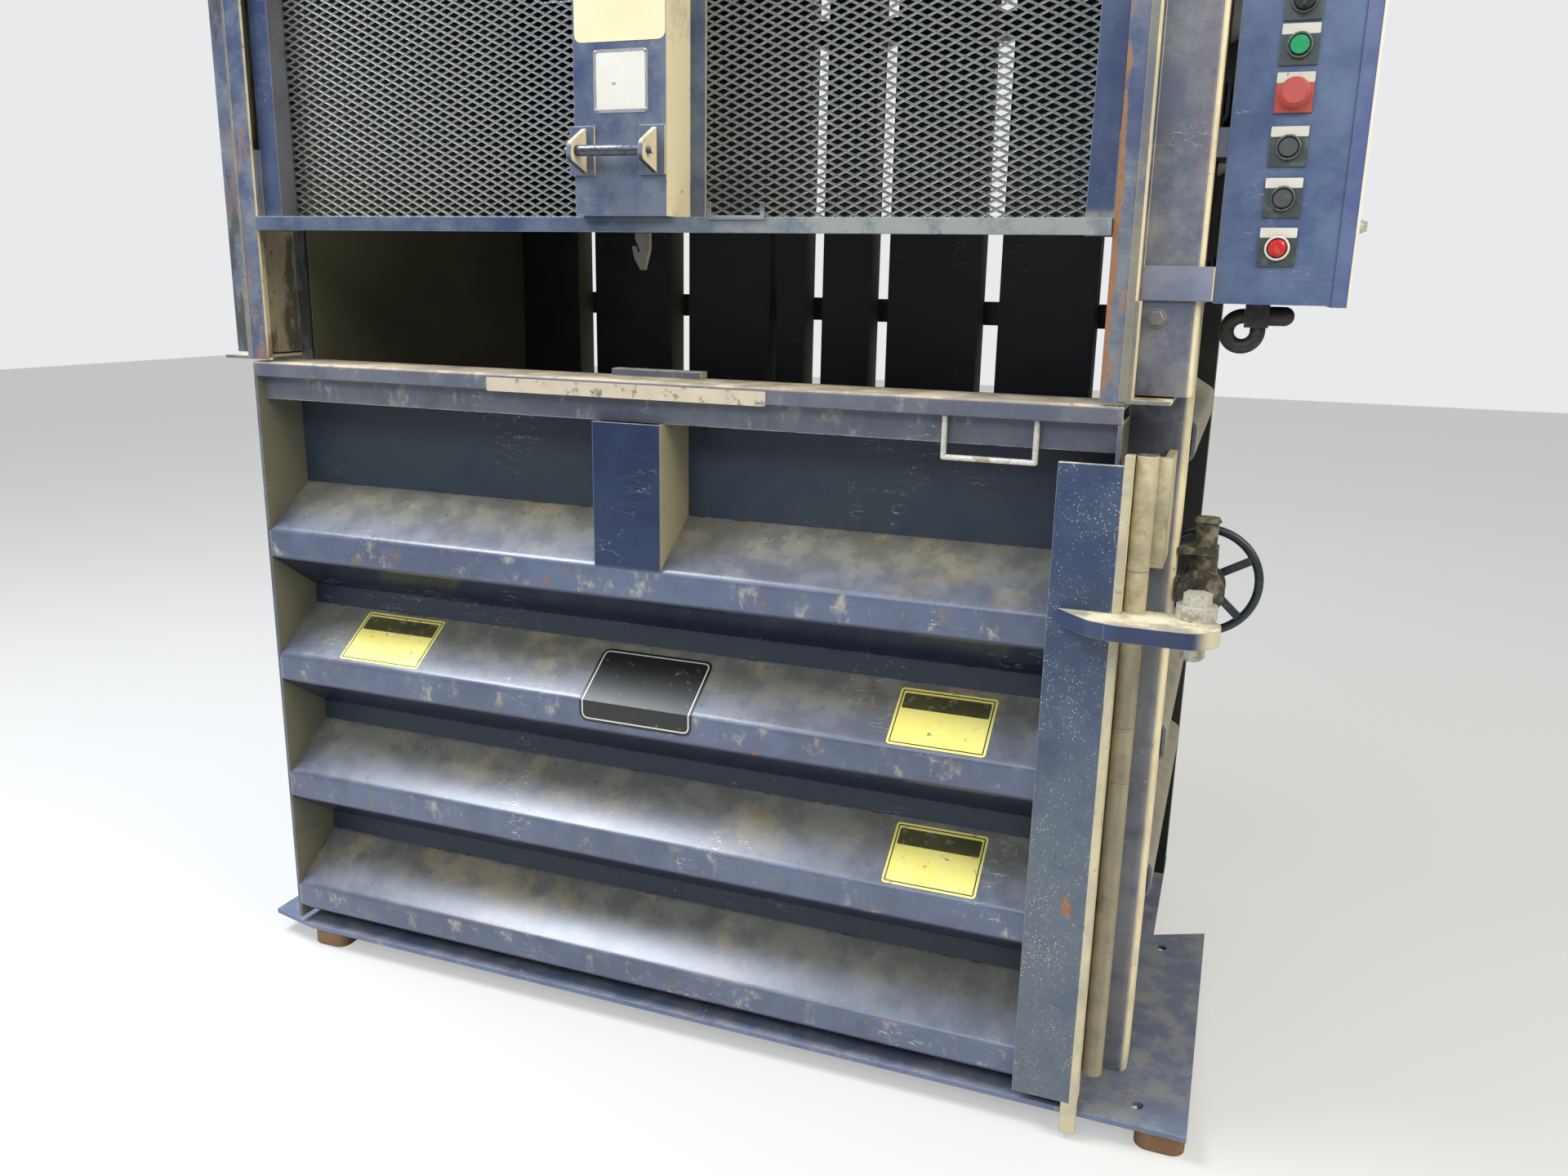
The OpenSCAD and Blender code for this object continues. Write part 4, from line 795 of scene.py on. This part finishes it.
# Each legend plate has a blank white strip along its top, and the stop button's a red field
plate_lo, plate_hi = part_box("button_plates")
plate_t = 3
plate_face = measures(plate_hi)[1] - plate_t
button_x = measures((plate_lo + plate_hi) / 2)[0]
button_levels = [1771, 1714, 1652, 1582, 1514, 1447]
half_field, strip_foot, strip_top, field_top = 24.5, 14.5, 28, 14
x0, x1 = button_x - half_field, button_x + half_field
for count, level in enumerate(button_levels):
    card("legend_%d" % count, (x0, plate_face, level + strip_foot),
         (x1, plate_face, level + strip_top), 1.5, [white_vinyl], "machine", thick=0.5)
stop_level, pilot_level = button_levels[2], button_levels[5]
card("stop_square", (x0, plate_face, stop_level - half_field),
     (x1, plate_face, stop_level + field_top), 1.5, [red_vinyl], "machine")


def ring(name, level, radius, width, material, stand=5.4):
    # A collar round a button, with the button's stem free inside it
    bpy.ops.mesh.primitive_torus_add(
        major_radius=radius * MM, minor_radius=width / 2 * MM, major_segments=48,
        minor_segments=10, location=at(button_x, plate_face - stand, level),
        rotation=(math.pi / 2, 0, 0))
    made = bpy.context.object
    made.name = name
    bpy.ops.object.transform_apply(location=True, rotation=True, scale=True)
    bpy.ops.object.shade_smooth()
    made.data.materials.append(material)
    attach(made, "machine")


ring("pilot_ring", pilot_level, radius=15.3, width=3.2,
     material=moulded("white_ring", "#d9d6cc", rough=0.4))
bezel = worn_metal("button_bezel", "#8b8e8b", "#5f6261", "#4a4a44", cover=0.3, metallic=0.7)
for count in (0, 1, 3, 4):
    ring("bezel_%d" % count, button_levels[count], radius=15.4, width=1.6, material=bezel)

# Fields of colour on the door
# Plain vinyl stuck to the rib slopes with nothing printed but a border, and a pale strip
# along the nose of the top rail.
slope_run, slope_rise = 115, 80
rib_pitch, nose_top = 253, 139.5
just_over = 0.01


def vinyl_field(name, rib, x0, x1, near, far, materials, wrap=0, corner=6, border=(),
                lift=0.5):
    # near and far are measured back from the nose along the depth; wrap is the drop over
    # the nose
    lean_back = math.atan2(slope_rise, slope_run)
    level = nose_top + rib * rib_pitch
    middle = (near + far) / 2
    reach = (far - near) / math.cos(lean_back)
    bpy.ops.object.select_all(action="DESELECT")
    bpy.ops.mesh.primitive_plane_add(
        size=1, calc_uvs=False, rotation=(lean_back, 0, 0),
        location=at((x0 + x1) / 2, middle - lift * math.sin(lean_back),
                    level + middle * slope_rise / slope_run + lift * math.cos(lean_back)))
    made = bpy.context.object
    made.name = name
    made.scale = ((x1 - x0) * MM, reach * MM, 1)
    bpy.ops.object.transform_apply(location=True, rotation=True, scale=True)
    for material in materials:
        made.data.materials.append(material)
    front = min(v.co.y for v in made.data.vertices) + just_over * MM
    if wrap:
        pick(made, "EDGE", lambda rung: all(
            made.data.vertices[i].co.y < front for i in rung.vertices))
        bpy.ops.mesh.extrude_region_move(TRANSFORM_OT_translate={"value": (0, 0, -wrap * MM)})
        bpy.ops.mesh.select_all(action="SELECT")
        bpy.ops.mesh.normals_make_consistent(inside=False)
        bpy.ops.object.mode_set(mode="OBJECT")
    # The four outer corners are rounded; the two points on the fold stay
    lowest = min(v.co.z for v in made.data.vertices) + just_over * MM
    pick(made, "VERT", lambda v: v.co.y > front or v.co.z < lowest or not wrap)
    bpy.ops.mesh.bevel(offset=corner * MM, segments=4, affect="VERTICES")
    bpy.ops.object.mode_set(mode="OBJECT")
    inner_borders(made, border)
    film = made.modifiers.new("film", "SOLIDIFY")
    film.thickness = 0.4 * MM
    film.offset = -1
    bpy.ops.object.modifier_apply(modifier=film.name)
    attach(made, "bale_door")


# Yellow has bleached towards lemon, black has greyed, and the bands are nearly worn away
yellow_vinyl = printed_vinyl("yellow_vinyl", "#e3d24c", "#e4dc92", wear=0.6)
black_vinyl = printed_vinyl("black_vinyl", "#141613", "#23251f", wear=0.5)
band_vinyl = printed_vinyl("faded_band_vinyl", "#2c2c1c", "#57542f", wear=1.0)
inset_mm, band_share = 9, 0.64
for name, rib, x0, x1, near, far in (
        ("left", 2, -655, -472, 8, 108), ("right", 2, 463, 630, 5, 102),
        ("low", 1, 465, 628, 6, 105)):
    vinyl_field("yellow_field_" + name, rib, x0, x1, near, far, [yellow_vinyl, black_vinyl],
                border=[(4, 1), (2.2, 0)])
    vinyl_field("header_band_" + name, rib, x0 + inset_mm, x1 - inset_mm,
                near + band_share * (far - near), far - inset_mm, [band_vinyl],
                corner=3, lift=1.0)
vinyl_field("black_field", 2, -112, 112, 0, 100, [black_vinyl, white_vinyl], wrap=40,
            corner=16, border=[(5, 1), (2.5, 0)])
card("pale_strip", (-283, 0, 1192), (242, 0, 1216), 2,
     [printed_vinyl("worn_strip_vinyl", "#c9c0a8", "#a3917a", wear=0.9)], "bale_door", thick=0.5)
